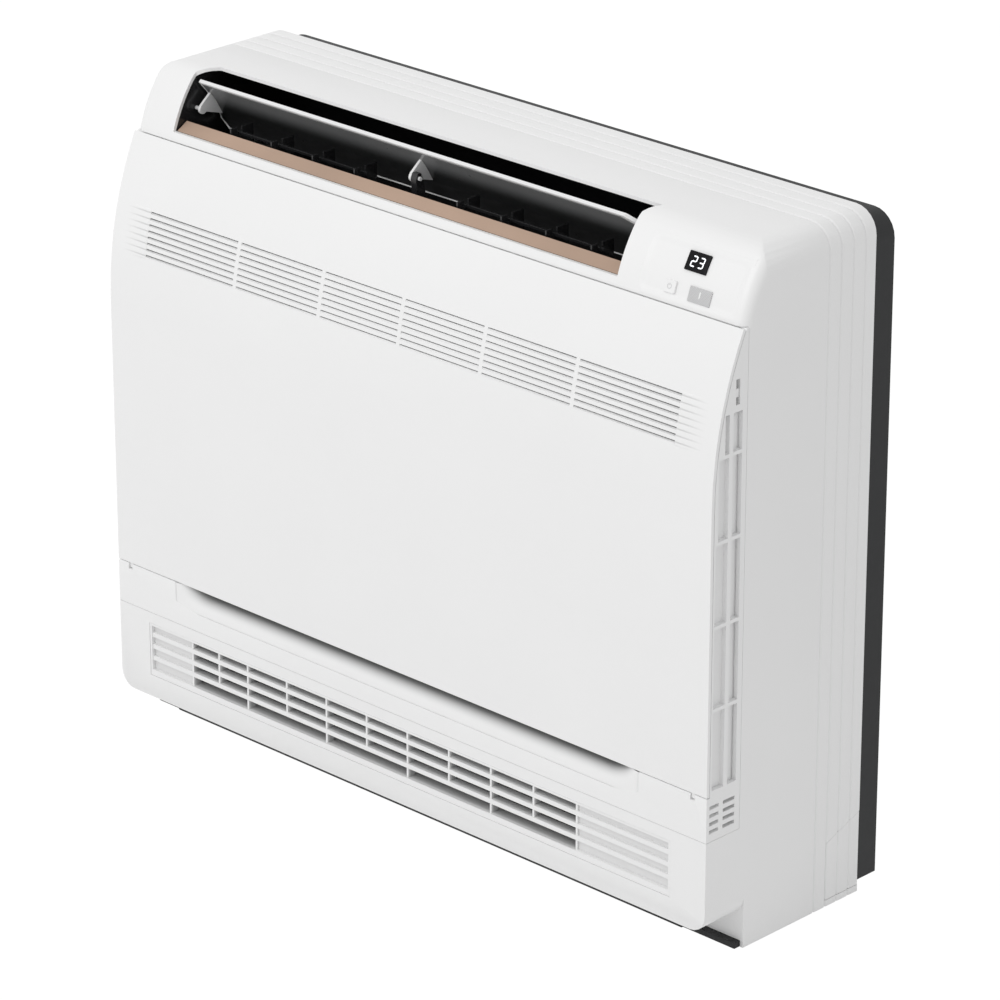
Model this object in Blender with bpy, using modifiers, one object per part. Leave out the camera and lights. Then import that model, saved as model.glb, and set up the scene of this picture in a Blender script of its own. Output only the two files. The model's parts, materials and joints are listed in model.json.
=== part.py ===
# Floor console air conditioner, modelled as an assembly of separate solids.
# Metres, +Z up, front faces -Y, origin on the floor under the middle of the box.

import math

import bmesh
import bpy
from mathutils import Matrix, Vector

# Overall sizes
WIDTH = 0.700
HEIGHT = 0.600
DEPTH = 0.215
PAN_DEPTH = 0.025
SHELL_DEPTH = DEPTH - PAN_DEPTH
WALL = 0.003
GAP = 0.0003
FRONT = -DEPTH / 2
CUTTER_REACH = 0.010

# Cabinet outline
CORNER_RADIUS = 0.022
FACE_EDGE_RADIUS = 0.009
EDGE_EASE = 0.0005
TOP_EDGE = 0.078
TOP_FILLET = 0.024
TOP_TURN = math.radians(52)
FACE_RADIUS = 0.138
SEAM_LOW = 0.1105
SEAM_HIGH = HEIGHT - 0.0585
BULKHEAD_DEPTH = 0.040
BULKHEAD_FLANGE = 0.010
TOE_HEIGHT = 0.029
TOE_DEPTH = 0.047
BLOCK_RADIUS = 0.016
BASE_THICK = 0.0055
BASE_FRONT = 0.0405

# Grooves round the rear of the cabinet
GROOVE_FIRST = SHELL_DEPTH - 0.0555
GROOVE_PITCH = 0.0145
GROOVE_COUNT = 4
GROOVE_CUT = 0.0011
GROOVE_HALF = 0.0012

# Knock-out covers for the pipes
KNOCK_BOTTOM = 0.006
KNOCK_FRONT_TOP = 0.058
KNOCK_REAR_TOP = 0.074

# Front panel
PANEL_LOW = 0.151
PANEL_HIGH = SEAM_HIGH - 0.0005
PANEL_THICK = 0.003
PANEL_CURVE_START = PANEL_HIGH - 0.145
PANEL_SETBACK = 0.0335
SLOT_COUNT = 8
SLOT_PITCH = 0.0053
SLOT_HEIGHT = 0.0021
SLOT_TOP = PANEL_HIGH - 0.0595
SLOT_REACH = WIDTH / 2 - 0.043
BRIDGE_OFFSETS = (0.0, 0.094, 0.196)
BRIDGE_WIDTH = 0.004
HINGE_DEPTH = 0.0030
HINGE_HEIGHT = 0.1475
HINGE_PIN = 0.0011
HINGE_PLAY = 0.0002
HINGE_LUG = 0.0035
LUG_HALF = 0.0016
LUG_CLEARANCE = 0.0012

# Front frame behind the panel
FRAME_CLEARANCE = 0.0006
LATTICE_DEEP = 0.013
FRAME_REAR_WALL = 0.003
RIB = 0.003
CROSSBAR_LOW = 0.1525
LATTICE_ROWS = 5
CROSSBAR_PITCH = (PANEL_HIGH - CROSSBAR_LOW - 0.06675) / (LATTICE_ROWS - 0.5)
COLUMN_FRONT = (0.0055, 0.0195)
COLUMN_REAR = (0.0240, 0.0345)
SIDE_SLOT_COUNT = 4
SIDE_SLOT_PITCH = 0.0071
SIDE_SLOT_LOW = 0.1180
SIDE_SLOT_HEIGHT = 0.0032
SCOOP_REACH = WIDTH / 2 - 0.074
SCOOP_END = 0.040
SCOOP_TAPER = (0.05, 0.30, 0.62, 0.88, 1.0)
SCOOP_LIFT = 0.005
SCOOP_FACE = ((0.0, 0.1270), (0.0130, 0.1292), (0.0215, 0.1315), (0.0262, 0.1348),
              (0.0284, 0.1395), (0.0290, 0.1455))
STRIP_TOP = 0.1498
STRIP_EDGE = (0.0008, 0.0013)
SHELF = STRIP_TOP + 0.0005

# Panel stoppers in the lattices
STOPPER_DEPTH = 0.0285
STOPPER_LOW = PANEL_HIGH - 0.055
STOPPER_KNOB = (0.0038, 0.0070)
STOPPER_PLAY = 0.0004
STOPPER_TRAVEL = 0.008
STOPPER_BELOW = 0.006
STOPPER_PLATE = 0.0025

# Top outlet and its flap
OUTLET_LEFT = -WIDTH / 2 + 0.0455
OUTLET_RIGHT = WIDTH / 2 - 0.1365
OUTLET_LOW = HEIGHT - 0.051
OUTLET_REAR = 0.080
OUTLET_CORNER = 0.015
OUTLET_FLARE = 0.0085
PIVOT_DEPTH = 0.064
PIVOT_HEIGHT = HEIGHT - 0.0355
FLAP_INSET = 0.0008
FLAP_THICK = 0.0030
FLAP_REAR_ANGLE = math.radians(103)
FLAP_FRONT_ANGLE = math.radians(158.8)
FLAP_OPEN = math.radians(115)
FLAP_LEFT = OUTLET_LEFT + 0.004
FLAP_RIGHT = OUTLET_RIGHT - 0.004
FLAP_CLIP = (0.018, 0.010)
FLAP_RIB = 0.0025
FLAP_PIN = 0.0018
FLAP_BOSS = 0.0040
HANGER_X = (OUTLET_LEFT + OUTLET_RIGHT) / 2 + 0.0025
HANGER_THICK = 0.0060
SEAL_FRONT = 0.0403
SEAL_RISE = 0.0065
SEAL_DEEP = 0.0110
SEAL_THICK = 0.0022

# Top duct
DUCT_WALL = 0.0025
DUCT_LEFT = OUTLET_LEFT + 0.0005
DUCT_RIGHT = OUTLET_RIGHT + 0.0005
DUCT_FRONT = 0.0500
DUCT_FLOOR = HEIGHT - 0.070
DUCT_MOUTH_FRONT = 0.0940
DUCT_REAR = SHELL_DEPTH - 0.015
DUCT_ROOF = HEIGHT - 0.0058
DUCT_BEND = 0.060

# Upright vanes
VANE_COUNT = 4
VANE_ENDS = (0.0545, 0.0435)
VANE_MIDDLE_SPACE = 0.120
VANE_PITCH = ((OUTLET_RIGHT - OUTLET_LEFT - sum(VANE_ENDS) - VANE_MIDDLE_SPACE)
              / (2 * (VANE_COUNT - 1)))
VANE_FIRST = (OUTLET_LEFT + VANE_ENDS[0],
              OUTLET_RIGHT - VANE_ENDS[1] - (VANE_COUNT - 1) * VANE_PITCH)
VANE_THICK = 0.0016
VANE_FRONT = 0.0530
VANE_REAR = 0.0790
VANE_AXIS = 0.0750
VANE_TOP = HEIGHT - 0.040
VANE_PIN = 0.0020
LEVER = 0.0120
ROD_SIDE = 0.0024
ROD_HEIGHT = HEIGHT - 0.045
ROD_OVERHANG = 0.006

# Control area on the fascia
COVER_LEFT = WIDTH / 2 - 0.115
COVER_RIGHT = WIDTH / 2 - 0.010
COVER_LOW = HEIGHT - 0.0553
COVER_HIGH = HEIGHT - 0.0115
COVER_THICK = 0.0025
DISPLAY_X = WIDTH / 2 - 0.0623
DISPLAY_HEIGHT = HEIGHT - 0.0238
DISPLAY_SIZE = (0.0225, 0.0160)
RECEIVER_X = WIDTH / 2 - 0.0506
RECEIVER_HEIGHT = HEIGHT - 0.0462
RECEIVER_SIZE = (0.0230, 0.0125)
BUTTON_X = WIDTH / 2 - 0.0819
BUTTON_HEIGHT = HEIGHT - 0.0455
BUTTON_SIZE = (0.0125, 0.0105)
BUTTON_PROUD = 0.0010
BUTTON_LENGTH = 0.0050
BOARD_SINK = 0.0090
BOARD_SIZE = (0.0750, 0.0360)
BOARD_THICK = 0.0016
BOARD_POST = 0.004
BOARD_POST_X = 0.030

# Lower grille
GRILLE_REACH = WIDTH / 2 - 0.0385
GRILLE_LOW = 0.0500
GRILLE_HIGH = 0.1000
GRILLE_FRAME = 0.0022
GRILLE_SILL = (0.0055, 0.0175)
GRILLE_DEEP = 0.012
GRILLE_FACE = 0.0003
GRILLE_SINK = 0.0013
GRILLE_POCKET = 0.0038
SLAT_COUNT = 3
SLAT_PITCH = 0.0112
SLAT_FIRST = 0.0068
SLAT_FACE = 0.0042
SLAT_LIP = 0.0016
SLAT_THICK = 0.0018
SLAT_REAR = 0.0105
GRILLE_RIGHT_BAR = WIDTH / 2 - 0.144
GRILLE_LEFT_BARS = (-WIDTH / 2 + 0.126, -WIDTH / 2 + 0.092)
GRILLE_BAR_COUNT = 9
GRILLE_BAR_PITCH = (GRILLE_RIGHT_BAR - GRILLE_LEFT_BARS[0] - 0.0364) / (GRILLE_BAR_COUNT - 1)
GRILLE_BAR = 0.0020

# Air path inside
SCROLL_LEFT = -WIDTH / 2 + 0.088
SCROLL_RIGHT = WIDTH / 2 - 0.133
SCROLL_FRONT = 0.084
SCROLL_LOW = 0.1120
SCROLL_HIGH = HEIGHT - 0.0803
SCROLL_WALL = 0.008
SCROLL_MARGIN = 0.018
FAN_X = (SCROLL_LEFT + SCROLL_RIGHT) / 2
FAN_Z = (SCROLL_LOW + SCROLL_HIGH) / 2 + 0.00015
FAN_RADIUS = 0.145
FAN_INTAKE = 0.100
FAN_FRONT = 0.0900
FAN_REAR = DUCT_REAR - 0.027
FAN_PLATE = 0.0025
FAN_BLADES = 9
FAN_HUB = 0.018
SHAFT = 0.004
MOTOR_RADIUS = 0.045
MOTOR_FRONT = DUCT_REAR - 0.022
SHAFT_FRONT = DUCT_REAR - 0.039
BELL_THICK = 0.003
BELL_FRONT = 0.0807
BELL_LOW = 0.118
BELL_HIGH = SCROLL_HIGH - 0.0077
BELL_RADIUS = 0.096
BELL_LIP_DEPTH = 0.0935

# Evaporator and pipes
COIL_LEFT = SCROLL_LEFT + 0.022
COIL_RIGHT = SCROLL_RIGHT - 0.022
COIL_LOW = 0.1495
COIL_HIGH = HEIGHT - 0.103
COIL_FRONT = 0.0450
COIL_THICK = 0.0260
COIL_PLATE = 0.0015
COIL_PLATE_FRONT = 0.0403
BEND_COUNT = 6
BEND_RADIUS = 0.0085
BEND_ENDS = (0.0320, 0.0285)
BEND_PITCH = ((COIL_HIGH - COIL_LOW - sum(BEND_ENDS) - 2 * BEND_RADIUS) / (BEND_COUNT - 1))
BEND_STAND_OFF = 0.004
TUBE = 0.0035
GAS_PIPE = 0.0048
LIQUID_PIPE = 0.0032
FLARE_NUT = 0.009
NUT_LENGTH = 0.020
NUT_BORE_DEEP = 0.014
PIPE_X = COIL_RIGHT + 0.024
GAS_Z = 0.2115
LIQUID_Z = 0.2245
PIPE_PLANS = (
    ("gas", GAS_PIPE, COIL_FRONT + 0.018, GAS_Z, PIPE_X + 0.012, SHELL_DEPTH - 0.060, 0.105),
    ("liquid", LIQUID_PIPE, COIL_FRONT + 0.010, LIQUID_Z, PIPE_X + 0.030, SHELL_DEPTH - 0.085,
     0.090))

# Trays, lower duct, damper
TRAY_FRONT = 0.0425
TRAY_REAR = BELL_FRONT - GAP
TRAY_LOW = 0.1180
TRAY_HIGH = 0.1455
TRAY_LEFT = SCROLL_LEFT
TRAY_RIGHT = SCROLL_RIGHT + 0.0145
TRAY_WALL = 0.002
SPOUT_RADIUS = 0.008
SPOUT_DROP = 0.022
LOWER_LEFT = SCROLL_LEFT
LOWER_RIGHT = SCROLL_RIGHT - 0.005
LOWER_BEND = 0.055
LOWER_FRONT = 0.0180
LOWER_FLOOR = 0.0470
LOWER_ROOF = 0.1000
DAMPER_DEPTH = 0.062
DAMPER_HEIGHT = (LOWER_FLOOR + LOWER_ROOF) / 2
DAMPER_CHORD = 0.0510
DAMPER_THICK = 0.0020
DAMPER_TILT = math.radians(20)

# Filters
FILTER_INNER = 0.010
FILTER_OUTER = WIDTH / 2 - 0.032
FILTER_LOW = 0.168
FILTER_HIGH = HEIGHT - 0.095
FILTER_FRONT = 0.0312
FILTER_FRAME = 0.008
FILTER_RIBS = (4, 5)

# Electrical box
BOX_LEFT = WIDTH / 2 - 0.114
BOX_RIGHT = WIDTH / 2 - 0.016
BOX_LOW = 0.250
BOX_HIGH = HEIGHT - 0.100
BOX_FRONT = SHELL_DEPTH - 0.090
BOX_WALL = 0.0015
CIRCUIT_EDGE = 0.006
CIRCUIT_THICK = 0.006
CIRCUIT_LOW = 0.070
TERMINAL_EDGE = 0.012
TERMINAL_DEEP = 0.024
TERMINAL_SPAN = (0.014, 0.042)
TERMINAL_COUNT = 4
TERMINAL_WALL = 0.0045

# Back plate
PLATE_MARGIN = 0.002
PLATE_LOW = 0.009
PLATE_HIGH = HEIGHT - 0.009
PLATE_WALL = 0.0015
PIPE_HOLE = 0.032
PIPE_HOLE_X = WIDTH / 2 - 0.095
PIPE_HOLE_Z = 0.085
HANG_SLOT = (0.040, 0.012)
HANG_X = WIDTH / 2 - 0.150
HANG_Z = HEIGHT - 0.060

# Colours
WHITE = (0.86, 0.86, 0.86)
GREY_WHITE = (0.78, 0.78, 0.78)
BLACK = (0.012, 0.012, 0.013)
CHARCOAL = (0.05, 0.05, 0.052)
TAN = (0.45, 0.27, 0.19)
GREY = (0.35, 0.35, 0.36)
COPPER = (0.72, 0.36, 0.20)
BRASS = (0.66, 0.52, 0.25)
ALUMINIUM = (0.75, 0.76, 0.77)
STEEL = (0.55, 0.56, 0.57)
GREEN = (0.03, 0.20, 0.09)

for old in list(bpy.data.objects):
    bpy.data.objects.remove(old, do_unlink=True)

PARTS = bpy.data.collections.new("floor_console_air_conditioner")
CUTTERS = bpy.data.collections.new("cutters")
bpy.context.scene.collection.children.link(PARTS)
bpy.context.scene.collection.children.link(CUTTERS)


def back(depth):
    """World Y of a place that lies this far behind the front plane."""
    return FRONT + depth


# Helpers for materials and objects


def finish(name, colour, roughness, metallic=0.0):
    material = bpy.data.materials.new(name)
    material.use_nodes = True
    shader = material.node_tree.nodes["Principled BSDF"]
    shader.inputs["Base Color"].default_value = (*colour, 1.0)
    shader.inputs["Roughness"].default_value = roughness
    shader.inputs["Metallic"].default_value = metallic
    return material


def place(obj, look=None):
    """Puts an object among the parts, with its own material, or among the cutters."""
    if look is None:
        CUTTERS.objects.link(obj)
        obj.hide_render = True
        obj.display_type = "WIRE"
    else:
        PARTS.objects.link(obj)
        colour, roughness, metallic = look
        obj.data.materials.append(finish(obj.name + "_finish", colour, roughness, metallic))
    return obj


def solid(name, shape, look=None):
    """Makes an object from a bmesh whose faces are turned outwards."""
    bmesh.ops.recalc_face_normals(shape, faces=shape.faces[:])
    if shape.calc_volume(signed=True) < 0.0:
        bmesh.ops.reverse_faces(shape, faces=shape.faces[:])
    mesh = bpy.data.meshes.new(name)
    shape.to_mesh(mesh)
    shape.free()
    mesh.set_sharp_from_angle(angle=math.radians(35))
    return place(bpy.data.objects.new(name, mesh), look)


def baked(obj, turn=None, look=None):
    """Replaces a curve or a modified object by its welded mesh, turned into its place."""
    name = obj.name
    bpy.context.scene.collection.objects.link(obj)
    graph = bpy.context.evaluated_depsgraph_get()
    mesh = bpy.data.meshes.new_from_object(obj.evaluated_get(graph))
    bpy.data.objects.remove(obj, do_unlink=True)
    shape = bmesh.new()
    shape.from_mesh(mesh)
    bpy.data.meshes.remove(mesh)
    bmesh.ops.remove_doubles(shape, verts=shape.verts[:], dist=0.00002)
    if turn is not None:
        shape.transform(turn)
    return solid(name, shape, look)


def box(name, x, y, z, look=None):
    """A block between two x, two y and two z values."""
    shape = bmesh.new()
    bmesh.ops.create_cube(shape, size=1.0)
    size = Matrix.Diagonal((x[1] - x[0], y[1] - y[0], z[1] - z[0], 1.0))
    middle = Matrix.Translation(((x[0] + x[1]) / 2, (y[0] + y[1]) / 2, (z[0] + z[1]) / 2))
    shape.transform(middle @ size)
    return solid(name, shape, look)


AXIS_TURNS = {
    "X": Matrix(((0, 0, 1, 0), (1, 0, 0, 0), (0, 1, 0, 0), (0, 0, 0, 1))),
    "Y": Matrix(((1, 0, 0, 0), (0, 0, -1, 0), (0, 1, 0, 0), (0, 0, 0, 1))),
    "Z": Matrix.Identity(4),
}


def extruded(name, outline, axis, start, end, look=None):
    """A flat outline drawn out along an axis.

    The outline's two numbers are y and z for axis X, x and z for axis Y, x and y for axis Z.
    """
    curve = bpy.data.curves.new(name, "CURVE")
    curve.dimensions = "2D"
    curve.fill_mode = "BOTH"
    curve.extrude = abs(end - start) / 2
    line = curve.splines.new("POLY")
    line.points.add(len(outline) - 1)
    for point, (u, v) in zip(line.points, outline):
        point.co = (u, v, 0.0, 1.0)
    line.use_cyclic_u = True
    middle = (start + end) / 2
    shift = {"X": (middle, 0, 0), "Y": (0, middle, 0), "Z": (0, 0, middle)}[axis]
    turn = Matrix.Translation(shift) @ AXIS_TURNS[axis]
    return baked(bpy.data.objects.new(name, curve), turn, look)


def cylinder(name, centre, radius, start, end, axis, look=None, sides=20):
    """A round bar along an axis; centre holds the two coordinates across the axis."""
    shape = bmesh.new()
    bmesh.ops.create_cone(shape, cap_ends=True, segments=sides, radius1=radius, radius2=radius,
                          depth=abs(end - start))
    middle = (start + end) / 2
    if axis == "X":
        spot = (middle, centre[0], centre[1])
    elif axis == "Y":
        spot = (centre[0], middle, centre[1])
    else:
        spot = (centre[0], centre[1], middle)
    shape.transform(Matrix.Translation(spot) @ AXIS_TURNS[axis])
    return solid(name, shape, look)


def turned(name, profile, centre, steps, look=None):
    """A profile of (radius, depth) pairs turned about a front to rear axis at centre (x, z)."""
    mesh = bpy.data.meshes.new(name)
    count = len(profile)
    touches_axis = profile[0][0] == 0.0
    edges = [(i, i + 1) for i in range(count - 1)]
    if not touches_axis:
        edges.append((count - 1, 0))
    mesh.from_pydata([(radius, 0.0, depth) for radius, depth in profile], edges, [])
    obj = bpy.data.objects.new(name, mesh)
    screw = obj.modifiers.new("turn", "SCREW")
    screw.steps = steps
    screw.render_steps = steps
    screw.use_merge_vertices = True
    screw.merge_threshold = 0.00005
    lay = Matrix(((1, 0, 0, centre[0]), (0, 0, 1, FRONT), (0, -1, 0, centre[1]), (0, 0, 0, 1)))
    return baked(obj, lay, look)


def pipe(name, points, radius, look=None, sides=2):
    """A round tube along straight runs with its ends filled."""
    curve = bpy.data.curves.new(name, "CURVE")
    curve.dimensions = "3D"
    curve.bevel_depth = radius
    curve.bevel_resolution = sides
    curve.use_fill_caps = True
    line = curve.splines.new("POLY")
    line.points.add(len(points) - 1)
    for point, spot in zip(line.points, points):
        point.co = (*spot, 1.0)
    return baked(bpy.data.objects.new(name, curve), None, look)


def boolean(target, tools, operation):
    for tool in tools:
        if tool.name in PARTS.objects:
            PARTS.objects.unlink(tool)
            CUTTERS.objects.link(tool)
        step = target.modifiers.new(tool.name, "BOOLEAN")
        step.operation = operation
        step.object = tool
        step.solver = "EXACT"
    return target


def cut(target, *tools):
    return boolean(target, tools, "DIFFERENCE")


def join(target, *tools):
    return boolean(target, tools, "UNION")


def keep_common(target, *tools):
    return boolean(target, tools, "INTERSECT")


def arc(centre, radius, start, end, steps):
    """Points on a circle from one angle to another, both ends included."""
    points = []
    for i in range(steps + 1):
        angle = start + (end - start) * i / steps
        points.append((centre[0] + radius * math.cos(angle), centre[1] + radius * math.sin(angle)))
    return points


def pivoted(obj, spot):
    """Moves an object's origin to a point on its joint's axis; the shape stays in place."""
    obj.data.transform(Matrix.Translation(-Vector(spot)))
    obj.location = spot


def look(colour, roughness=0.4, metallic=0.0):
    return (colour, roughness, metallic)


PLASTIC = look(WHITE, 0.42)
DARK_PLASTIC = look(BLACK, 0.5)

# Outline of the cabinet seen from the side


TURN_END = math.pi / 2 + TOP_TURN
FILLET_CENTRE = (TOP_EDGE, HEIGHT - TOP_FILLET)
FILLET_END = (FILLET_CENTRE[0] + TOP_FILLET * math.cos(TURN_END),
              FILLET_CENTRE[1] + TOP_FILLET * math.sin(TURN_END))
FACE_CENTRE = (FILLET_END[0] - FACE_RADIUS * math.cos(TURN_END),
               FILLET_END[1] - FACE_RADIUS * math.sin(TURN_END))


def fascia_point(angle, inset=0.0):
    """Depth and height of a point on the fascia arc, or on its top fillet, moved inwards."""
    centre, radius = (FILLET_CENTRE, TOP_FILLET) if angle < TURN_END else (FACE_CENTRE, FACE_RADIUS)
    reach = radius - inset
    return (centre[0] + reach * math.cos(angle), centre[1] + reach * math.sin(angle))


def fascia_angle(height, inset=0.0):
    """Angle of the fascia arc at a height."""
    return math.pi - math.asin((height - FACE_CENTRE[1]) / (FACE_RADIUS - inset))


def fascia_line(low_angle, high_angle, inset, steps):
    """Points up the fascia from a low place to a high place, given by their arc angles."""
    points = []
    for i in range(steps + 1):
        angle = low_angle + (high_angle - low_angle) * i / steps
        points.append(fascia_point(angle, inset))
    return points


def at_depth(points):
    """Turns (depth, height) pairs into (y, z) pairs."""
    return [(back(depth), height) for depth, height in points]


def fascia_angles(height, inset, steps=9, fillet_steps=5):
    """Arc angles from a height on the fascia to the flat top, through its fillet."""
    low = fascia_angle(height, inset)
    face = [low + (TURN_END - low) * i / steps for i in range(steps + 1)]
    return face + [TURN_END + (math.pi / 2 - TURN_END) * (i + 1) / fillet_steps
                   for i in range(fillet_steps)]


def fascia_from(height, inset):
    """The fascia from a height to the flat top."""
    return [fascia_point(angle, inset) for angle in fascia_angles(height, inset)]


def cabinet_side(inset, rear, floor):
    """Side outline of the cabinet, moved inwards by inset."""
    seam_low = SEAM_LOW - inset
    seam_high = SEAM_HIGH + inset
    wall = BULKHEAD_DEPTH + inset
    points = [(rear, floor), (inset, floor), (inset, seam_low), (wall, seam_low), (wall, seam_high)]
    points += fascia_from(seam_high, inset)
    points.append((rear, HEIGHT - inset))
    return at_depth(points)


def arch(half, bottom, top, radius, steps=6):
    """Upright outline with two round top corners, as (x, z) pairs."""
    centre = half - radius
    points = [(-half, bottom), (half, bottom)]
    points += arc((centre, top - radius), radius, 0.0, math.pi / 2, steps)
    points += arc((-centre, top - radius), radius, math.pi / 2, math.pi, steps)
    return points


def skinned(name, rings):
    """Joins rings of equal count, each a list of (x, y, z), into one body of triangles."""
    shape = bmesh.new()
    loops = [[shape.verts.new(point) for point in ring] for ring in rings]
    for first, second in zip(loops, loops[1:]):
        for i in range(len(first)):
            j = (i + 1) % len(first)
            shape.faces.new((first[i], first[j], second[j], second[i]))
    shape.faces.new(loops[0])
    shape.faces.new(loops[-1])
    shape.normal_update()
    bmesh.ops.triangulate(shape, faces=shape.faces[:])
    return solid(name, shape)


def edge_rounder(name, side, inset, steps):
    """Cuts a side edge of the fascia round, with a radius that grows from the seam to the top."""
    start = fascia_angle(SEAM_HIGH + inset - EDGE_EASE, inset)
    half = WIDTH / 2 - inset
    rings = []
    edges = fascia_angles(SEAM_HIGH + inset, inset)
    between = [(first + second) / 2 for first, second in zip(edges, edges[1:])]
    for angle in [start] + between + [math.pi / 2]:
        share = (start - angle) / (start - math.pi / 2)
        growth = CORNER_RADIUS - EDGE_EASE - FACE_EDGE_RADIUS
        radius = FACE_EDGE_RADIUS + growth * share ** 2 - inset
        bow = []
        for k in range(steps + 1):
            turn = math.pi / 2 * k / steps
            bow.append((half - radius * (1 - math.sin(turn)), radius * (1 - math.cos(turn))))
        above = (2 * bow[0][0] - bow[1][0], -bow[1][1])
        beyond = (half + EDGE_EASE / 10, radius + EDGE_EASE / 2)
        far = half + CUTTER_REACH
        section = [(above[0], -CUTTER_REACH), above] + bow[1:-1]
        section += [beyond, (far, beyond[1]), (far, -CUTTER_REACH)]
        ring = []
        for x, sink in section:
            depth, z = fascia_point(angle, inset + sink)
            ring.append((side * x, back(depth), z))
        rings.append(ring)
    rings[-1] = [(x, y + EDGE_EASE, z) for x, y, z in rings[-1]]
    return skinned(name, rings)


def grooved_arch(name):
    """The rounded cabinet section from front to rear, with grooves round its rear end."""
    stations = [(-CUTTER_REACH, 0.0)]
    for i in range(GROOVE_COUNT):
        middle = GROOVE_FIRST + i * GROOVE_PITCH
        stations += [(middle - GROOVE_HALF, 0.0), (middle, GROOVE_CUT), (middle + GROOVE_HALF, 0.0)]
    stations.append((DEPTH + CUTTER_REACH, 0.0))
    rings = []
    for depth, inset in stations:
        rings.append((depth, arch(WIDTH / 2 - inset, -CUTTER_REACH, HEIGHT - inset,
                                  CORNER_RADIUS - inset)))
    return skinned(name, [[(x, back(depth), z) for x, z in outline] for depth, outline in rings])


def knock_outline(margin):
    """Side outline of a knock-out cover, grown by margin."""
    front = GROOVE_FIRST + GROOVE_PITCH - margin
    rear = SHELL_DEPTH
    return at_depth([(rear, KNOCK_BOTTOM - margin), (front, KNOCK_BOTTOM - margin),
                     (front, KNOCK_FRONT_TOP + margin), (rear, KNOCK_REAR_TOP + margin)])


def toe_cutter(name, inset):
    """Clears the toe recess and rounds the lower corners of the front block."""
    half = WIDTH / 2 - inset
    low = TOE_HEIGHT + inset
    radius = BLOCK_RADIUS - inset
    far = WIDTH / 2 + CUTTER_REACH
    outline = [(far, -2 * CUTTER_REACH), (far, low + radius)]
    outline += arc((half - radius, low + radius), radius, 0.0, -math.pi / 2, 5)
    outline += arc((-half + radius, low + radius), radius, -math.pi / 2, -math.pi, 5)
    outline += [(-far, low + radius), (-far, -2 * CUTTER_REACH)]
    return extruded(name, outline, "Y", back(-2 * CUTTER_REACH), back(TOE_DEPTH + inset))


# Main housing


def outlet_plan():
    """Plan outline of the top opening as (x, y): cut corner on the left, flare on the right."""
    front = -CUTTER_REACH
    return [(OUTLET_LEFT, back(front)), (OUTLET_RIGHT, back(front)),
            (OUTLET_RIGHT, back(OUTLET_REAR - OUTLET_CORNER)),
            (OUTLET_RIGHT + OUTLET_FLARE, back(OUTLET_REAR)),
            (OUTLET_LEFT + OUTLET_CORNER, back(OUTLET_REAR)),
            (OUTLET_LEFT, back(OUTLET_REAR - OUTLET_CORNER))]


def cover_side(margin, proud, inset):
    """Side outline of the control cover, grown by margin along the fascia."""
    turn = margin / (FACE_RADIUS - inset)
    low = fascia_angle(COVER_LOW) + turn
    high = fascia_angle(COVER_HIGH) - turn
    outer = fascia_line(low, high, -proud, 6)
    inner = fascia_line(high, low, inset, 6)
    return at_depth(outer + inner)


def make_housing():
    half = WIDTH / 2
    housing = extruded("main_housing", cabinet_side(0.0, SHELL_DEPTH, 0.0), "X", -half, half,
                       PLASTIC)
    keep_common(housing, grooved_arch("cabinet_section"))
    cut(housing, toe_cutter("toe_recess_cutter", 0.0))
    hollow = extruded("cabinet_hollow", cabinet_side(WALL, DEPTH, -CUTTER_REACH), "X",
                      -half + WALL, half - WALL)
    section = arch(half - WALL, -2 * CUTTER_REACH, HEIGHT - WALL, CORNER_RADIUS - WALL)
    keep_common(hollow, extruded("hollow_section", section, "Y", back(-CUTTER_REACH),
                                 back(DEPTH + CUTTER_REACH)))
    cut(hollow, toe_cutter("hollow_toe_cutter", WALL))
    for side, tag in ((-1, "left"), (1, "right")):
        cut(housing, edge_rounder("edge_rounder_" + tag, side, 0.0, 6))
        cut(hollow, edge_rounder("hollow_rounder_" + tag, side, WALL, 2))
    cut(housing, hollow)
    flange = half - WALL - BULKHEAD_FLANGE
    window = box("bulkhead_window", (-flange, flange),
                 (back(BULKHEAD_DEPTH - CUTTER_REACH), back(BULKHEAD_DEPTH + CUTTER_REACH)),
                 (SEAM_LOW + WALL, SEAM_HIGH - WALL))
    outlet = extruded("outlet_opening", outlet_plan(), "Z", OUTLET_LOW, HEIGHT + CUTTER_REACH)
    cover = extruded("cover_opening", cover_side(GAP, 0.004, WALL + 0.001), "X",
                     COVER_LEFT - GAP, COVER_RIGHT + GAP)
    grille = box("grille_opening", (-GRILLE_REACH - GAP, GRILLE_REACH + GAP),
                 (back(-CUTTER_REACH), back(WALL + 0.001)),
                 (GRILLE_LOW - GAP, GRILLE_HIGH + GAP))
    toe = box("toe_wall_foot", (-half + WALL, half - WALL),
              (back(TOE_DEPTH - 0.002), back(TOE_DEPTH + WALL + 0.001)),
              (-CUTTER_REACH, BASE_THICK + GAP))
    cut(housing, window, outlet, cover, grille, toe)
    for side in (-1, 1):
        name = "knock_cutter_left" if side < 0 else "knock_cutter_right"
        outer = side * (half + CUTTER_REACH)
        inner = side * (half - WALL - 0.001)
        cut(housing, extruded(name, knock_outline(GAP)[0:4], "X", min(outer, inner),
                              max(outer, inner)))
    return housing


def make_knock_covers():
    half = WIDTH / 2
    for side, name in ((-1, "knockout_cover_left"), (1, "knockout_cover_right")):
        ends = sorted((side * (half + CUTTER_REACH), side * (half - WALL)))
        cover = extruded(name, knock_outline(0.0), "X", ends[0], ends[1], PLASTIC)
        keep_common(cover, grooved_arch(name + "_section"))


def make_base_plate():
    half = WIDTH / 2 - WALL - GAP
    box("base_plate", (-half, half), (back(BASE_FRONT), back(SHELL_DEPTH - GAP)),
        (0.0, BASE_THICK), look(BLACK, 0.45))


# Front panel


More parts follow.
